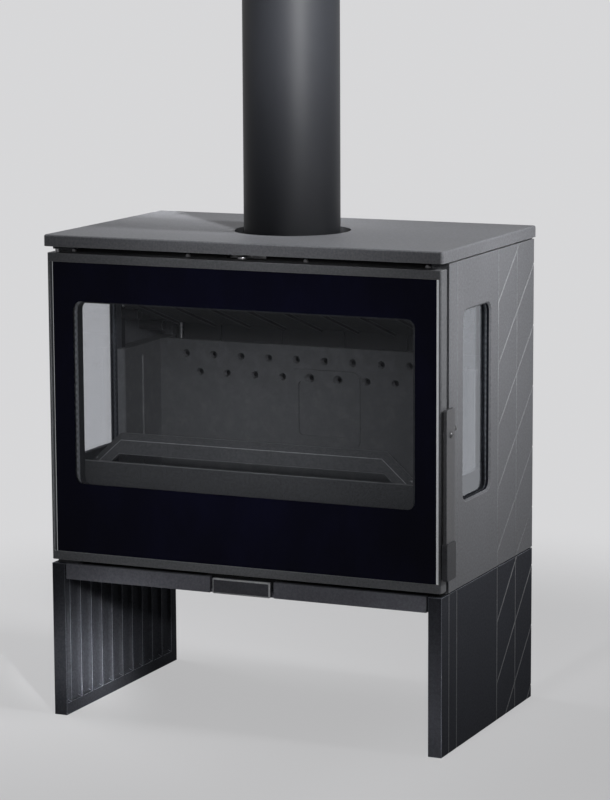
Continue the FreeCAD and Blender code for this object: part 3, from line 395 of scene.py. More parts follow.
def whole(node, name, *finishes):
    """Copy of a CAD node's mesh, its loose triangles merged into whole faces, ready to be softened."""
    piece = bpy.data.objects.new(name, frame["nodes"][node].data.copy())
    bpy.context.scene.collection.objects.link(piece)
    piece.data.materials.clear()
    for finish in finishes:
        piece.data.materials.append(finish)
    take(piece)
    bpy.ops.mesh.customdata_custom_splitnormals_clear()
    bpy.ops.object.mode_set(mode="EDIT")
    bpy.ops.mesh.select_all(action="SELECT")
    bpy.ops.mesh.remove_doubles(threshold=2e-6)
    bpy.ops.mesh.dissolve_limited(angle_limit=math.radians(0.5))
    fresh()
    return piece


def rounded_copy(node, name, width, *finishes):
    """A CAD node's own shape with its edges rounded, in its place. A second finish goes on the edges."""
    # Painted highlight: a second finish is a paler colour for the rounded edges.
    slot = EDGE_SLOT if len(finishes) > 1 else -1
    return stand_for(soften(whole(node, name, *finishes), width, edge_slot=slot), node)


def metal(name, colour, rough):
    """Bare machined steel, dulled here and there."""
    shine = Finish(name)
    spot = shine.spot()
    dull = shine.noise(spot, scale=160, detail=3, roughness=0.6).step(0.35, 0.7)
    turned = shine.noise(shine.spot((1, 1, 8)), scale=900, detail=2)
    return shine.close(shine.skin({
        "Base Color": shine.tint(dull, colour, shade(colour, 0.6)),
        "Metallic": 1.0,
        "Roughness": rough + dull * 0.18 + (turned - 0.5) * 0.05}, turned * 0.000004))


def dress(finish, *nodes):
    """CAD nodes whose shape is right keep it and get their finish."""
    for node in nodes:
        slots = frame["nodes"][node].data.materials
        slots.clear()
        slots.append(finish)


def sheet_metal(name, colour, rough=0.5):
    """Rolled sheet in thin black paint, with faint long marks of the rolls."""
    paint = Finish(name)
    cloud = paint.noise(paint.spot(), scale=14, detail=4, roughness=0.6).step(0.3, 0.7)
    rolled = paint.noise(paint.spot((3, 60, 60)), scale=6, detail=3)
    peel = paint.noise(paint.spot(), scale=500, detail=2)
    return paint.close(paint.skin({
        "Base Color": paint.tint(cloud * 0.6 + rolled * 0.4, shade(colour, 0.82), shade(colour, 1.2)),
        "Roughness": rough + (cloud - 0.5) * 0.06}, peel * 0.00002 + rolled * 0.00001))


sheet = sheet_metal("sheet_paint", SHEET)
steel = metal("plain_steel", STEEL, rough=0.3)
# Painted shade: the base plate is near black, as its front edge shows only in the dark gap under the door.
base_shade = cast_iron("base_shade", BASE_SHADE, rough=0.65, shine=0.05)
rounded_copy("base_plate", "base_casting", BASE_ROUND, base_shade)
rounded_copy("air_box", "air_box_shell", BOX_ROUND, sheet)
dress(steel, "leg_bolts", "tie_rods")


# Front rail and air slide: a cast bar between the legs, screwed up under the base plate, with a notch in
# its middle. The slide's pull tab fills the notch and has a bevelled rim. Its plate runs back over the
# ledges of the air box.
# The edge colours here are painted highlights for the rounded edges and the tab's rim.
RAIL_IRON, RAIL_HIGHLIGHT = (0.128, 0.130, 0.149), (0.25, 0.254, 0.262)
SLIDE_IRON, SLIDE_HIGHLIGHT = (0.058, 0.0585, 0.0675), (0.36, 0.364, 0.372)
TAB_WIDER, TAB_TALLER, TAB_BACK = 0.0017, 0.0014, 0.0026    # how far the tab's faces are moved
TAB_DEEP, TAB_BAND, TAB_ROUND = 0.0085, 0.0021, 0.0012      # where these faces are found
TAB_RIM, TAB_FIELD = 0.0014, 0.0006
RAIL_ROUND = 0.0007
rail_iron = cast_iron("rail_iron", RAIL_IRON)
rail_highlight = cast_iron("rail_highlight", RAIL_HIGHLIGHT, rough=0.45)
slide_iron = cast_iron("slide_iron", SLIDE_IRON)
slide_highlight = cast_iron("slide_highlight", SLIDE_HIGHLIGHT, rough=0.45)
rounded_copy("front_rail", "rail_casting", RAIL_ROUND, rail_iron, rail_highlight)
dress(steel, "rail_screws")
slide = whole("air_slide", "air_pull", slide_iron, slide_highlight)
low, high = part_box("air_slide")


def on_tab(mid):
    """Whether a point lies on the pull tab, in front of the slide's plate."""
    return mid.y < low.y + TAB_DEEP


for move, test in (
        ((TAB_WIDER, 0, 0), lambda mid, way: on_tab(mid) and mid.x > high.x - TAB_BAND),
        ((-TAB_WIDER, 0, 0), lambda mid, way: on_tab(mid) and mid.x < low.x + TAB_BAND),
        ((0, 0, TAB_TALLER), lambda mid, way: on_tab(mid) and mid.z > high.z - TAB_BAND),
        ((0, TAB_BACK, 0), lambda mid, way: mid.y < low.y + TAB_ROUND)):
    pick(slide, "FACE", test)
    bpy.ops.transform.translate(value=move)
# Painted highlight: the tab's front and its rim take the pale edge colour; the raised field goes back to
# the plain one.
repaint(slide, EDGE_SLOT, lambda mid, way: mid.y < low.y + TAB_BACK + TAB_ROUND)
pick(slide, "FACE", lambda mid, way: near(mid.y, low.y + TAB_BACK))
bpy.ops.mesh.inset(thickness=TAB_RIM, depth=TAB_FIELD)
repaint(slide, PLAIN_SLOT, lambda mid, way: near(mid.y, low.y + TAB_BACK - TAB_FIELD))
stand_for(soften(slide, RAIL_ROUND, edge_slot=EDGE_SLOT), "air_slide")


# Back panel: a painted steel sheet with stiffening ribs on its inside, which closes the stove behind. Six
# screws hold it to the flanges of the side panels.
BACK_ROUND = 0.0006
BACK_RIB = 0.004            # how far the ribs reach in from the sheet
rounded_copy("back_panel", "back_sheet", BACK_ROUND, sheet)
dress(steel, "back_screws")


# Side panels: cast iron sides with a window, lipped at top and bottom so that an open joint shows above and
# below. Flanges inside take the front sealing face and the back panel. The cast lines run on from the legs.
# The body's edge colour is a painted highlight for the rounded edges of the sides and the top plate.
BODY_IRON, BODY_HIGHLIGHT = (0.143, 0.146, 0.157), (0.22, 0.225, 0.235)
# Painted shade: a near-black colour for the faces inside the window's mouth.
PANEL_LINE, REVEAL_SHADE = (0.22, 0.227, 0.238), (0.014, 0.0148, 0.020)
PANEL_THICK, TONGUE, FLANGE_THICK = 0.007, 0.0035, 0.012
JOINT_LOW, JOINT_HIGH = 0.0015, 0.003
WINDOW_Y, WINDOW_Z = (-0.108, 0.0065), (0.374, 0.660)
WINDOW_ROUND, WINDOW_CHAMFER = 0.014, 0.003
PANEL_SLOPE, PANEL_PITCH, PANEL_FIRST = 0.88, 0.097, 0.656
PANEL_ROUND = 0.0007


def rounded_block(name, low, high, axis, radius, *finishes):
    """Box whose four edges along an axis are rounded."""
    piece = block(name, low, high, *finishes)
    return round_off(piece, radius, lambda mid, way: along(way, axis), segments=8)


def weld(piece, *bodies):
    """Makes bodies one with a piece."""
    for body in bodies:
        apply(piece, "BOOLEAN", object=body, operation="UNION", solver="EXACT")
        bpy.data.objects.remove(body)
    return piece


iron = cast_iron("body_iron", BODY_IRON)
iron_highlight = cast_iron("body_highlight", BODY_HIGHLIGHT, rough=0.48)
panel_line = cast_iron("panel_line", PANEL_LINE, rough=0.5)
reveal_shade = cast_iron("window_reveal_shade", REVEAL_SHADE, rough=0.65, shine=0.05)
low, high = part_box("side_panel_right")
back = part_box("back_panel")[0].y + BACK_RIB
inner, tongue = high.x - PANEL_THICK, high.x - PANEL_THICK + TONGUE
side = block("side_casting_right", (inner, low.y, low.z), high, iron, iron_highlight)
weld(side, *[block("flange", (low.x, y, low.z), (inner + OVER, y + FLANGE_THICK, high.z))
             for y in (low.y, back - FLANGE_THICK)])
carve(side, *[block("joint", (tongue, low.y - OVER, z0), (high.x + OVER, high.y + OVER, z1))
              for z0, z1 in ((low.z - OVER, low.z + JOINT_LOW), (high.z - JOINT_HIGH, high.z + OVER))])
carve(side, rounded_block("mouth", (inner - OVER, WINDOW_Y[0], WINDOW_Z[0]),
                          (high.x + OVER, WINDOW_Y[1], WINDOW_Z[1]), X, WINDOW_ROUND))


def in_window(mid, margin=0.001):
    """Whether a point lies within the window's outline."""
    return all(a - margin < c < b + margin for c, (a, b) in zip(mid.yz, (WINDOW_Y, WINDOW_Z)))


round_off(side, WINDOW_CHAMFER, lambda mid, way: near(mid.x, high.x) and in_window(mid))
engrave(side, high.x, low, high, LINE_PLACES, PANEL_SLOPE, PANEL_PITCH, PANEL_FIRST, panel_line)
soften(side, PANEL_ROUND, edge_slot=EDGE_SLOT)
# Painted shade: the faces inside the window's mouth take the near-black colour.
side.data.materials.append(reveal_shade)
repaint(side, OWN_SLOT, lambda mid, way: in_window(mid) and abs(way.x) < 0.5)
twin = mirrored(side, "side_casting_left")
stand_for(side, "side_panel_right")
stand_for(twin, "side_panel_left")


# Side windows: a pane of clear ceramic glass against a flat woven seal, clamped from inside by a cast
# frame that four screws hold.
CLEAR_TINT, MIRROR_TINT = (0.93, 0.935, 0.945), (0.90, 0.94, 1.0)
FRAME_IRON = (0.030, 0.031, 0.035)
SEAL = (0.27, 0.28, 0.30)
SIDE_MIRROR = 0.19          # share of the light that the coated side panes throw back, square on
SEAL_ROUND, FRAME_ROUND = 0.0004, 0.0008
YARN = 0.0016               # pitch of the seals' weave


def clear_glass(name, mirror):
    """See-through glass that mirrors a share of the room, more at a slant, with faint wiping marks."""
    glass = Finish(name)
    through = glass.add("BsdfTransparent", {}, {"Color": (*CLEAR_TINT, 1)})
    wiped = glass.noise(glass.spot((1, 1, 0.4)), scale=26, detail=3, roughness=0.6).step(0.35, 0.75)
    shine = glass.skin({
        "Base Color": (*MIRROR_TINT, 1), "Metallic": 1.0, "Roughness": wiped * 0.05 + 0.02})
    slant = glass.add("LayerWeight", {}, {"Blend": 0.5}, out="Facing")
    share = glass.add("Math", {"operation": "POWER"}, {0: slant, 1: 5.0}) * (1 - mirror) + mirror
    return glass.close(glass.add("MixShader", {}, {0: share, 1: through, 2: shine}))


def woven(name, colour, pitch):
    """Glass-fibre yarn in a plain weave, over and under."""
    cloth = Finish(name)
    spot = cloth.spot()
    over, under = [cloth.add("TexWave", {"bands_direction": "DIAGONAL"}, {
        "Vector": place, "Scale": 0.314 / pitch / 3, "Distortion": 1.5, "Detail": 1.0})
        for place in (spot, cloth.spot((1, 1, -1)))]
    fuzz = cloth.noise(spot, scale=900, detail=3, roughness=0.7)
    yarn = over * 0.5 + under * 0.5
    return cloth.close(cloth.skin({
        "Base Color": cloth.tint(yarn * 0.7 + fuzz * 0.3, shade(colour, 0.5), shade(colour, 1.25)),
        "Roughness": fuzz.step(0, 1, 0.8, 1.0)}, yarn * 0.0004 + fuzz * 0.0001))


side_glass = clear_glass("side_glass", SIDE_MIRROR)
frame_iron = cast_iron("frame_iron", FRAME_IRON, rough=0.62)
# Painted highlight: the frames' rounded edges take the frame colour made three times paler.
frame_highlight = cast_iron("frame_highlight", shade(FRAME_IRON, 3), rough=0.5)
tape = woven("seal_tape", SEAL, YARN)
for hand in ("left", "right"):
    dress(side_glass, "side_glass_" + hand)
    rounded_copy("side_seal_" + hand, "side_tape_" + hand, SEAL_ROUND, tape)
    rounded_copy("glass_frame_" + hand, "window_frame_" + hand, FRAME_ROUND, frame_iron, frame_highlight)
dress(steel, "glass_frame_screws")


# Firebox: hearth, grate, back, linings and baffle, all dry grey castings sooted by the fire. They stand or
# hang loose on ledges and pegs, so that they can be changed. The ash pan is folded sheet.
# The fired castings' edge colour is a painted highlight for their rounded edges.
FIRE_IRON, FIRE_HIGHLIGHT, SOOT = (0.130, 0.132, 0.138), (0.24, 0.243, 0.25), (0.014, 0.014, 0.015)
LINING_LIT, BAFFLE_SHADED, LIP = (0.18, 0.183, 0.19), (0.050, 0.050, 0.052), (0.068, 0.0692, 0.072)
FIRE_SOOT, LINING_SOOT = (0.45, 0.75), (0.52, 0.82)         # heights between which the soot sets in
AIR_HOLES, AIR_PITCH, AIR_DROP = (11, 10), 0.049, (0.023, 0.052)    # two rows, down from the upper edge
DISH, DISH_Y = (0.0044, 0.0086), (0.1254, 0.1180)           # radii of a dished rim, and where they lie
HEARTH_ROUND, WALL_ROUND, LINING_ROUND = 0.0010, 0.0007, 0.0008
PEG_ROUND, LIP_ROUND, PAN_ROUND = 0.0006, 0.0012, 0.0003


def fired_iron(name, colour, soot_band):
    """Cast iron that the fire has dried out, blacker above a band of heights."""
    skin = Finish(name)
    spot = skin.spot()
    height = skin.add("SeparateXYZ", {}, {"Vector": spot}, out="Z")
    cloud = skin.noise(spot, scale=11, detail=4, roughness=0.6)
    sand = skin.noise(spot, scale=380, detail=3, roughness=0.7)
    soot = (height + (cloud - 0.5) * 0.12).step(*soot_band)
    dusty = skin.noise(spot, scale=48, detail=4, roughness=0.7).step(0.42, 0.75)
    burnt = soot * 0.75 + (1 - dusty) * 0.18 + sand.step(0.35, 0.6, 0.12, 0.0)
    return skin.close(skin.skin({
        "Base Color": skin.tint(burnt, colour, SOOT), "Roughness": sand.step(0.2, 0.8, 0.72, 0.95),
        "Specular IOR Level": 0.35}, sand * 0.00012 + cloud * 0.0002))


def dish(x, z):
    """Cone that dishes the front rim of an air hole."""
    fresh()
    bpy.ops.mesh.primitive_cone_add(
        vertices=32, radius1=DISH[0], radius2=DISH[1], depth=DISH_Y[0] - DISH_Y[1],
        location=(x, sum(DISH_Y) / 2, z), rotation=(math.pi / 2, 0, 0))
    return settle("dish")


fire_iron = fired_iron("fire_iron", FIRE_IRON, FIRE_SOOT)
fire_highlight = fired_iron("fire_highlight", FIRE_HIGHLIGHT, FIRE_SOOT)
# Painted light: the linings are paler than the other castings, though cast alike; their soot band is real.
sooted_and_lit_lining = fired_iron("lining_iron", LINING_LIT, LINING_SOOT)
# The baffle and its pegs are darker than the other castings: soot, and painted shade of the firebox's dark
# top.
sooted_and_shaded_baffle = fired_iron("baffle_iron", BAFFLE_SHADED, FIRE_SOOT)
lip_iron = cast_iron("lip_iron", LIP, rough=0.65, grain=1.3, shine=0.1)
rounded_copy("hearth", "hearth_casting", HEARTH_ROUND, fire_iron, fire_highlight)
rounded_copy("grate", "grate_casting", HEARTH_ROUND, fire_iron, fire_highlight)
fire_back = whole("firebox_back", "fire_back_casting", fire_iron)
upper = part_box("firebox_back")[1].z
carve(fire_back, *[dish((i - (count - 1) / 2) * AIR_PITCH, upper - drop)
                   for count, drop in zip(AIR_HOLES, AIR_DROP) for i in range(count)])
stand_for(soften(merge(fire_back), WALL_ROUND), "firebox_back")
for hand in ("left", "right"):
    # Painted light: the linings take the paler colour.
    rounded_copy("lining_" + hand, "lining_casting_" + hand, LINING_ROUND, sooted_and_lit_lining, fire_highlight)
# Painted shade and soot: the baffle and its pegs take the darker colour.
rounded_copy("baffle", "baffle_casting", LINING_ROUND, sooted_and_shaded_baffle, fire_highlight)
rounded_copy("baffle_pegs", "baffle_peg_set", PEG_ROUND, sooted_and_shaded_baffle, fire_highlight)
rounded_copy("front_lip", "lip_casting", LIP_ROUND, lip_iron, fire_highlight)
rounded_copy("ash_pan", "ash_tray", PAN_ROUND, sheet)


# Log retainer: a loose cast bridge that stands on the lip below the door and hooks behind it. A broad
# bevel runs round its upper front edge.
# The retainer's edge colour is a painted highlight for its rounded edges.
RETAINER, RETAINER_HIGHLIGHT, RETAINER_ROUND = (0.080, 0.0815, 0.085), (0.32, 0.323, 0.33), 0.0010
retainer_iron = cast_iron("retainer_iron", RETAINER, rough=0.6)
retainer_highlight = cast_iron("retainer_highlight", RETAINER_HIGHLIGHT, rough=0.5)
rounded_copy("log_retainer", "retainer_casting", RETAINER_ROUND, retainer_iron, retainer_highlight)


# Header and secondary air: a hollow cast bar above the door opening, screwed between the side panels. A
# punched strip slides in its channel, moved by a turned steel knob that shows in the gap over the door.
# Painted shade: the header is near black, as it shows only in the dark gap over the door.
HEADER_SHADE, HEADER_ROUND, STRIP_ROUND = (0.016, 0.016, 0.017), 0.0006, 0.0003
header_shade = cast_iron("header_shade", HEADER_SHADE, rough=0.65, shine=0.1)
rounded_copy("header", "header_casting", HEADER_ROUND, header_shade)
rounded_copy("secondary_slide", "air_strip", STRIP_ROUND, steel)
rounded_copy("secondary_knob", "air_knob", STRIP_ROUND, steel)
dress(steel, "header_screws")


# Flue collar: a cast iron socket under the top plate, which takes the pipe. A woven ring seals it to the
# plate, and four screws hold it from below.
COLLAR_ROUND = 0.0008
rounded_copy("flue_collar", "collar_casting", COLLAR_ROUND, frame_iron, frame_highlight)
rounded_copy("flue_gasket", "collar_tape", SEAL_ROUND, tape)
dress(steel, "flue_screws")


# Top plate: a thick cast plate with rounded corners and upper edge and a round hole for the flue. Its
# underside is hollow around the collar's seat.
TOP_CORNER, TOP_ROUND, TOP_EDGE = 0.005, 0.003, 0.0010
TOP_WEB, HOLLOW_X, HOLLOW_Y = 0.009, 0.264, (-0.138, 0.171)
HOLE_RADIUS, HOLE_SIDES = 0.091, 128
SEAT_RADIUS, SEAT_SIDES = 0.127, 96
low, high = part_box("top_plate")
top = rounded_block("top_casting", low, high, Z, TOP_CORNER, iron, iron_highlight)
round_off(top, TOP_ROUND, lambda mid, way: near(mid.z, high.z), segments=5)
hollow = block("hollow", (-HOLLOW_X, HOLLOW_Y[0], low.z - OVER), (HOLLOW_X, HOLLOW_Y[1], high.z - TOP_WEB))
carve(hollow, bar("seat", (0, 0, low.z - 2 * OVER), (0, 0, high.z), SEAT_RADIUS, SEAT_SIDES))
carve(top, hollow, bar("hole", (0, 0, low.z - OVER), (0, 0, high.z + OVER), HOLE_RADIUS, HOLE_SIDES))
stand_for(soften(top, TOP_EDGE, segments=3, edge_slot=EDGE_SLOT), "top_plate")


# Flue pipe: a steel tube, rolled and welded, and sprayed matt black. It is pushed down through the top
# plate into the collar.
PIPE, PIPE_WALL, PIPE_ROUND = (0.0060, 0.0064, 0.0076), 0.002, 0.0004


def pipe_paint(name, colour):
    """Smooth sprayed paint with a slight orange peel and a breath of dust."""
    paint = Finish(name)
    spot = paint.spot()
    peel = paint.noise(spot, scale=260)
    cloud = paint.noise(paint.spot((1, 1, 0.5)), scale=9, detail=3, roughness=0.6).step(0.3, 0.7)
    return paint.close(paint.skin({
        "Base Color": paint.tint(cloud * 0.7 + peel * 0.3, shade(colour, 0.88), shade(colour, 1.14)),
        "Roughness": 0.45 + (cloud - 0.5) * 0.06 + (peel - 0.5) * 0.06,
        "Specular IOR Level": 0.09}, peel * 0.00003))


low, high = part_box("flue_pipe")
fresh()
bpy.ops.mesh.primitive_cylinder_add(
    vertices=160, radius=high.x, depth=high.z - low.z, end_fill_type="NOTHING",
    location=(0, 0, (low.z + high.z) / 2))
pipe = settle("flue_tube", [pipe_paint("pipe_paint", PIPE)])
apply(pipe, "SOLIDIFY", thickness=PIPE_WALL, offset=-1)
stand_for(soften(pipe, PIPE_ROUND), "flue_pipe")


# Hinge: two flat iron brackets above and below the door on its left. Plain steel pins turn in them, and a
# washer on the lower pin carries the door.
HINGE_ROUND = 0.0005
rounded_copy("hinge_bracket_top", "upper_bracket", HINGE_ROUND, frame_iron, frame_highlight)
rounded_copy("hinge_bracket_bottom", "lower_bracket", HINGE_ROUND, frame_iron, frame_highlight)
dress(steel, "hinge_pins", "hinge_washer")


# Door frame: a thin cast rim. Broad strips hold the glass above and below; at the sides the glass reaches
# nearly to the rim, with a dark gap between.
# The door's edge colour is a painted highlight for the rim's rounded edges.
DOOR_IRON, DOOR_HIGHLIGHT = (0.115, 0.118, 0.125), (0.190, 0.195, 0.204)
DOOR_CORNER, DOOR_CHAMFER, DOOR_ROUND = 0.003, 0.0012, 0.0006
DOOR_WALL, DOOR_STRIP, DOOR_LIP = 0.004, 0.0135, 0.0025
door_iron = cast_iron("door_iron", DOOR_IRON, rough=0.5, grain=0.5)
door_highlight = cast_iron("door_highlight", DOOR_HIGHLIGHT, rough=0.42, grain=0.5)
low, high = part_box("door_frame")
rim = rounded_block("door_rim", low, high, Z, DOOR_CORNER, door_iron, door_highlight)
round_off(rim, DOOR_CHAMFER, lambda mid, way: near(mid.y, low.y) and along(way, X))
carve(rim, block("cavity", (low.x + DOOR_WALL, low.y + DOOR_LIP, low.z + DOOR_WALL),
                 (high.x - DOOR_WALL, high.y + OVER, high.z - DOOR_WALL)))
carve(rim, block("sight", (low.x + DOOR_WALL, low.y - OVER, low.z + DOOR_STRIP),
                 (high.x - DOOR_WALL, low.y + 2 * OVER, high.z - DOOR_STRIP)))
stand_for(soften(rim, DOOR_ROUND, edge_slot=EDGE_SLOT), "door_frame")


# Door glass: one pane of ceramic glass, printed black on its border, with ground side edges that catch the
# light and glow with painted light. The clear window has rounded corners.
PRINT, GROUND_EDGE, EDGE_PAINTED_GLOW = (0.0021, 0.0022, 0.0096), (0.86, 0.88, 0.90), (0.17, 0.175, 0.18)
CLEAR_X, CLEAR_Z, CLEAR_ROUND = 0.2825, (0.3715, 0.6565), 0.014
PANE_GAP, PANE_BEVEL = 0.0022, 0.0022
CLEAR_SLOT, GROUND_SLOT = 1, 2
DOOR_MIRROR = 0.012
SLACK = 1e-4                # how far a point may miss the window's outline


def printed(name, colour):
    """Black enamel print seen through the glass in front of it."""
    enamel = Finish(name)
    smear = enamel.noise(enamel.spot((1, 1, 0.5)), scale=17, detail=4, roughness=0.6).step(0.35, 0.75)
    return enamel.close(enamel.skin({
        "Base Color": enamel.tint(smear, colour, shade(colour, 1.6)),
        "Roughness": smear.step(0, 1, 0.04, 0.13), "IOR": 1.15}))


def ground_glass(name, colour):
    """Cut edge of the pane, ground matt, with a painted glow along its whole length."""
    edge = Finish(name)
    ground = edge.noise(edge.spot((1, 1, 6)), scale=240, detail=3, roughness=0.6).step(0.3, 0.7)
    return edge.close(edge.skin({
        "Base Color": edge.tint(ground, colour, shade(colour, 0.82)),
        "Roughness": ground.step(0, 1, 0.30, 0.42),
        "Emission Color": (*EDGE_PAINTED_GLOW, 1), "Emission Strength": 1.0}, ground * 0.00003))


def in_clear(point):
    """Whether a point lies within the outline of the clear window."""
    return abs(point.x) < CLEAR_X + SLACK and CLEAR_Z[0] - SLACK < point.z < CLEAR_Z[1] + SLACK


low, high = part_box("door_glass")
reach_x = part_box("door_frame")[1].x - DOOR_WALL - PANE_GAP
pane = block("door_pane", (-reach_x, low.y, low.z), (reach_x, high.y, high.z), printed("door_print", PRINT),
             clear_glass("door_clear", DOOR_MIRROR), ground_glass("glass_edge", GROUND_EDGE))
round_off(pane, PANE_BEVEL, lambda mid, way: near(mid.y, low.y) and along(way, Z))
outline = rounded_block("outline", (-CLEAR_X, low.y - OVER, CLEAR_Z[0]),
                        (CLEAR_X, high.y + OVER, CLEAR_Z[1]), Y, CLEAR_ROUND)
fresh()
outline.select_set(True)
pane.select_set(True)
bpy.context.view_layer.objects.active = pane
bpy.ops.object.join()


def on_outline(mid, way):
    """Faces of the body that only marks the window's outline on the pane."""
    outside = not low.y - SLACK < mid.y < high.y + SLACK
    return outside or (in_clear(mid) and abs(way.y) < 0.5)


pick(pane, "FACE", on_outline)
bpy.ops.mesh.intersect(mode="SELECT_UNSELECT", separate_mode="NONE", solver="EXACT")
pick(pane, "FACE", on_outline)
bpy.ops.mesh.delete(type="FACE")
fresh()
for face in pane.data.polygons:
    corners = [pane.data.vertices[i].co for i in face.vertices]
    if abs(face.normal.x) > 0.3:
        face.material_index = GROUND_SLOT
    elif all(in_clear(corner) for corner in corners):
        face.material_index = CLEAR_SLOT
stand_for(pane, "door_glass")


# Behind the glass: a flat woven gasket, and the cast inner frame that clamps the pane and carries the
# door's rope seal in a groove. Six countersunk screws hold it in the rim.
ROPE, ROPE_YARN = (0.11, 0.11, 0.108), 0.003
TAPE_LEFT = -0.2775         # the tape shows beyond the print only on this side
INNER_ROUND, ROPE_ROUND = 0.0007, 0.001
low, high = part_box("door_gasket")
gasket = carve(whole("door_gasket", "glass_tape", tape), rounded_block(
    "light", (TAPE_LEFT, low.y - OVER, CLEAR_Z[0]), (CLEAR_X, high.y + OVER, CLEAR_Z[1]), Y, CLEAR_ROUND))
stand_for(soften(merge(gasket), SEAL_ROUND), "door_gasket")
rounded_copy("door_inner_frame", "inner_casting", INNER_ROUND, frame_iron)
rounded_copy("door_rope", "rope_seal", ROPE_ROUND, woven("rope_yarn", ROPE, ROPE_YARN))
dress(steel, "door_screws")


# Handle: a flat steel lever that hangs beside the door from the latch shaft, with a cast grip round its
# lower end and a domed screw at its pivot. The hook on the shaft's inner end catches the keeper stud in the
# side panel.
# The lever's edge colour is a painted highlight for the rounded edges of the lever and the grip.
LEVER, LEVER_HIGHLIGHT, LEVER_ROUND = (0.084, 0.085, 0.091), (0.22, 0.222, 0.232), 0.0006
GRIP, GRIP_ROUND = (0.050, 0.051, 0.056), 0.0005
POLISHED = (0.15, 0.15, 0.156)
lever_paint = cast_iron("lever_paint", LEVER, rough=0.42, grain=0.4)
lever_highlight = cast_iron("lever_highlight", LEVER_HIGHLIGHT, rough=0.38, grain=0.4)
grip_iron = cast_iron("grip_iron", GRIP, rough=0.6, grain=1.6)
rounded_copy("handle_lever", "lever_bar", LEVER_ROUND, lever_paint, lever_highlight)
rounded_copy("handle_grip", "lever_grip", GRIP_ROUND, grip_iron, lever_highlight)
dress(metal("polished_steel", POLISHED, rough=0.18), "handle_screw", "keeper_stud")
dress(steel, "latch_shaft", "latch_hook")


# Floor and room: a round pale floor that fades out into a soft room, paler behind, to the right and above.
# Both look pale where they are seen, also in metal and glass, and throw less light back on the stove. Soft
# lamps light it.
FLOOR, FLOOR_THROWN, FLOOR_GLOW = (0.26, 0.26, 0.265), (0.16, 0.16, 0.165), (0.45, 0.45, 0.455)
FLOOR_RADIUS, FLOOR_FADE = 1.5, 0.75
ROOM_DARK, ROOM_PALE, ROOM_THROWN = (0.37, 0.37, 0.38), (0.68, 0.68, 0.69), (0.155, 0.155, 0.16)
ROOM_WAY, ROOM_FADE = (0.30, 0.90, 0.20), (-0.75, 0.45)


def seen(finish):
    """1 where the camera, metal or glass looks, and 0 for light that is only thrown back."""
    camera, glossy, through = [finish.add("LightPath", out="Is " + kind + " Ray")
                               for kind in ("Camera", "Glossy", "Transmission")]
    return camera + glossy + through


fresh()
bpy.ops.mesh.primitive_circle_add(vertices=128, radius=FLOOR_RADIUS, fill_type="NGON")
floor = settle("floor")
paint = Finish("floor_paint")
spot = paint.spot()
mottle = paint.noise(spot, scale=1.3, detail=3)
reach = paint.add("VectorMath", {"operation": "LENGTH"}, {0: spot}, out="Value")
pale = paint.tint(mottle, FLOOR, shade(FLOOR, 0.95))
looked_at = seen(paint)
colour = paint.add("Mix", {"data_type": "RGBA"}, {0: looked_at, 6: (*FLOOR_THROWN, 1), 7: pale}, out=2)
glow = paint.tint(looked_at, (0, 0, 0), FLOOR_GLOW)
ground = paint.skin({
    "Base Color": colour, "Roughness": 0.8, "Specular IOR Level": 0.0,
    "Emission Color": glow, "Emission Strength": 1.0})
gone = paint.add("BsdfTransparent")
floor.data.materials.append(paint.close(paint.add(
    "MixShader", {}, {0: reach.step(FLOOR_FADE, FLOOR_RADIUS), 1: ground, 2: gone})))

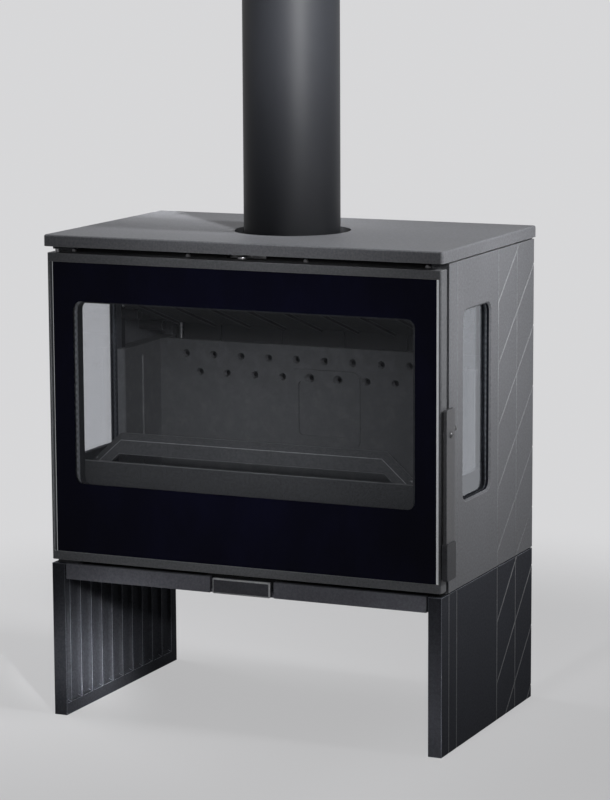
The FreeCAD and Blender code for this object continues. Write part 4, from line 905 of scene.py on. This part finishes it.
world = bpy.data.worlds.new("room")
world.use_nodes = True
bpy.context.scene.world = world
room = Finish("room", world.node_tree)
way = room.add("TexCoord", out="Generated")
toward = room.add("VectorMath", {"operation": "DOT_PRODUCT"}, {0: way, 1: ROOM_WAY}, out="Value")
wall = room.tint(toward.step(*ROOM_FADE), ROOM_DARK, ROOM_PALE)
colour = room.add("Mix", {"data_type": "RGBA"}, {0: seen(room), 6: (*ROOM_THROWN, 1), 7: wall}, out=2)
room.close(room.add("Background", {}, {"Color": colour}))


def lamp(name, place, target, size, power, spread=180):
    """Soft square lamp that faces a point, of so many watts; a small spread keeps its light to a beam."""
    light = bpy.data.lights.new(name, "AREA")
    light.size, light.energy, light.spread = size, power, math.radians(spread)
    holder = bpy.data.objects.new(name, light)
    bpy.context.scene.collection.objects.link(holder)
    holder.visible_camera = False
    holder.location = place
    holder.rotation_euler = (Vector(target) - Vector(place)).to_track_quat("-Z", "Y").to_euler()


lamp("side_lamp", (2.85, -0.14, 2.21), (0.2, -0.05, 0.8), 0.5, 3.0, 25)
lamp("window_lamp", (1.17, -2.82, 1.36), (0.0, -0.19, 0.53), 0.2, 0.34, 15)
lamp("pipe_lamp", (1.96, -2.03, 2.11), (0.0, 0.0, 1.08), 0.25, 4.1, 11)
lamp("flute_lamp", (1.07, -1.76, 0.93), (-0.30, -0.12, 0.07), 0.10, 0.105, 5)
lamp("low_lamp", (0.2, -3.0, 0.45), (0.32, -0.2, 0.06), 0.2, 0.12, 7)
lamp("back_lamp", (-2.2, 0.5, 1.9), (0.0, 0.0, 0.5), 1.2, 19.0)


# Camera: it stands to the right of the stove, above it, and looks down a little. A long lens keeps the
# uprights nearly parallel. The lens suits a picture of 610 by 800, and the sensor's size is that of its
# long side.
CAMERA_PLACE = (1.9339, -4.3005, 1.2561)
CAMERA_YAW, CAMERA_PITCH, CAMERA_ROLL = (math.radians(a) for a in (23.9887, 9.2174, 0.2892))
LENS, SENSOR = 137.6, 36.0
lens = bpy.data.cameras.new("camera")
lens.lens, lens.sensor_width = LENS, SENSOR
camera = bpy.data.objects.new("camera", lens)
bpy.context.scene.collection.objects.link(camera)
turn = Euler((math.pi / 2 - CAMERA_PITCH, 0, CAMERA_YAW)).to_matrix().to_4x4()
roll = Matrix.Rotation(-CAMERA_ROLL, 4, "Z")
camera.matrix_world = Matrix.Translation(CAMERA_PLACE) @ turn @ roll
bpy.context.scene.camera = camera
bpy.context.scene.view_settings.view_transform = "Standard"
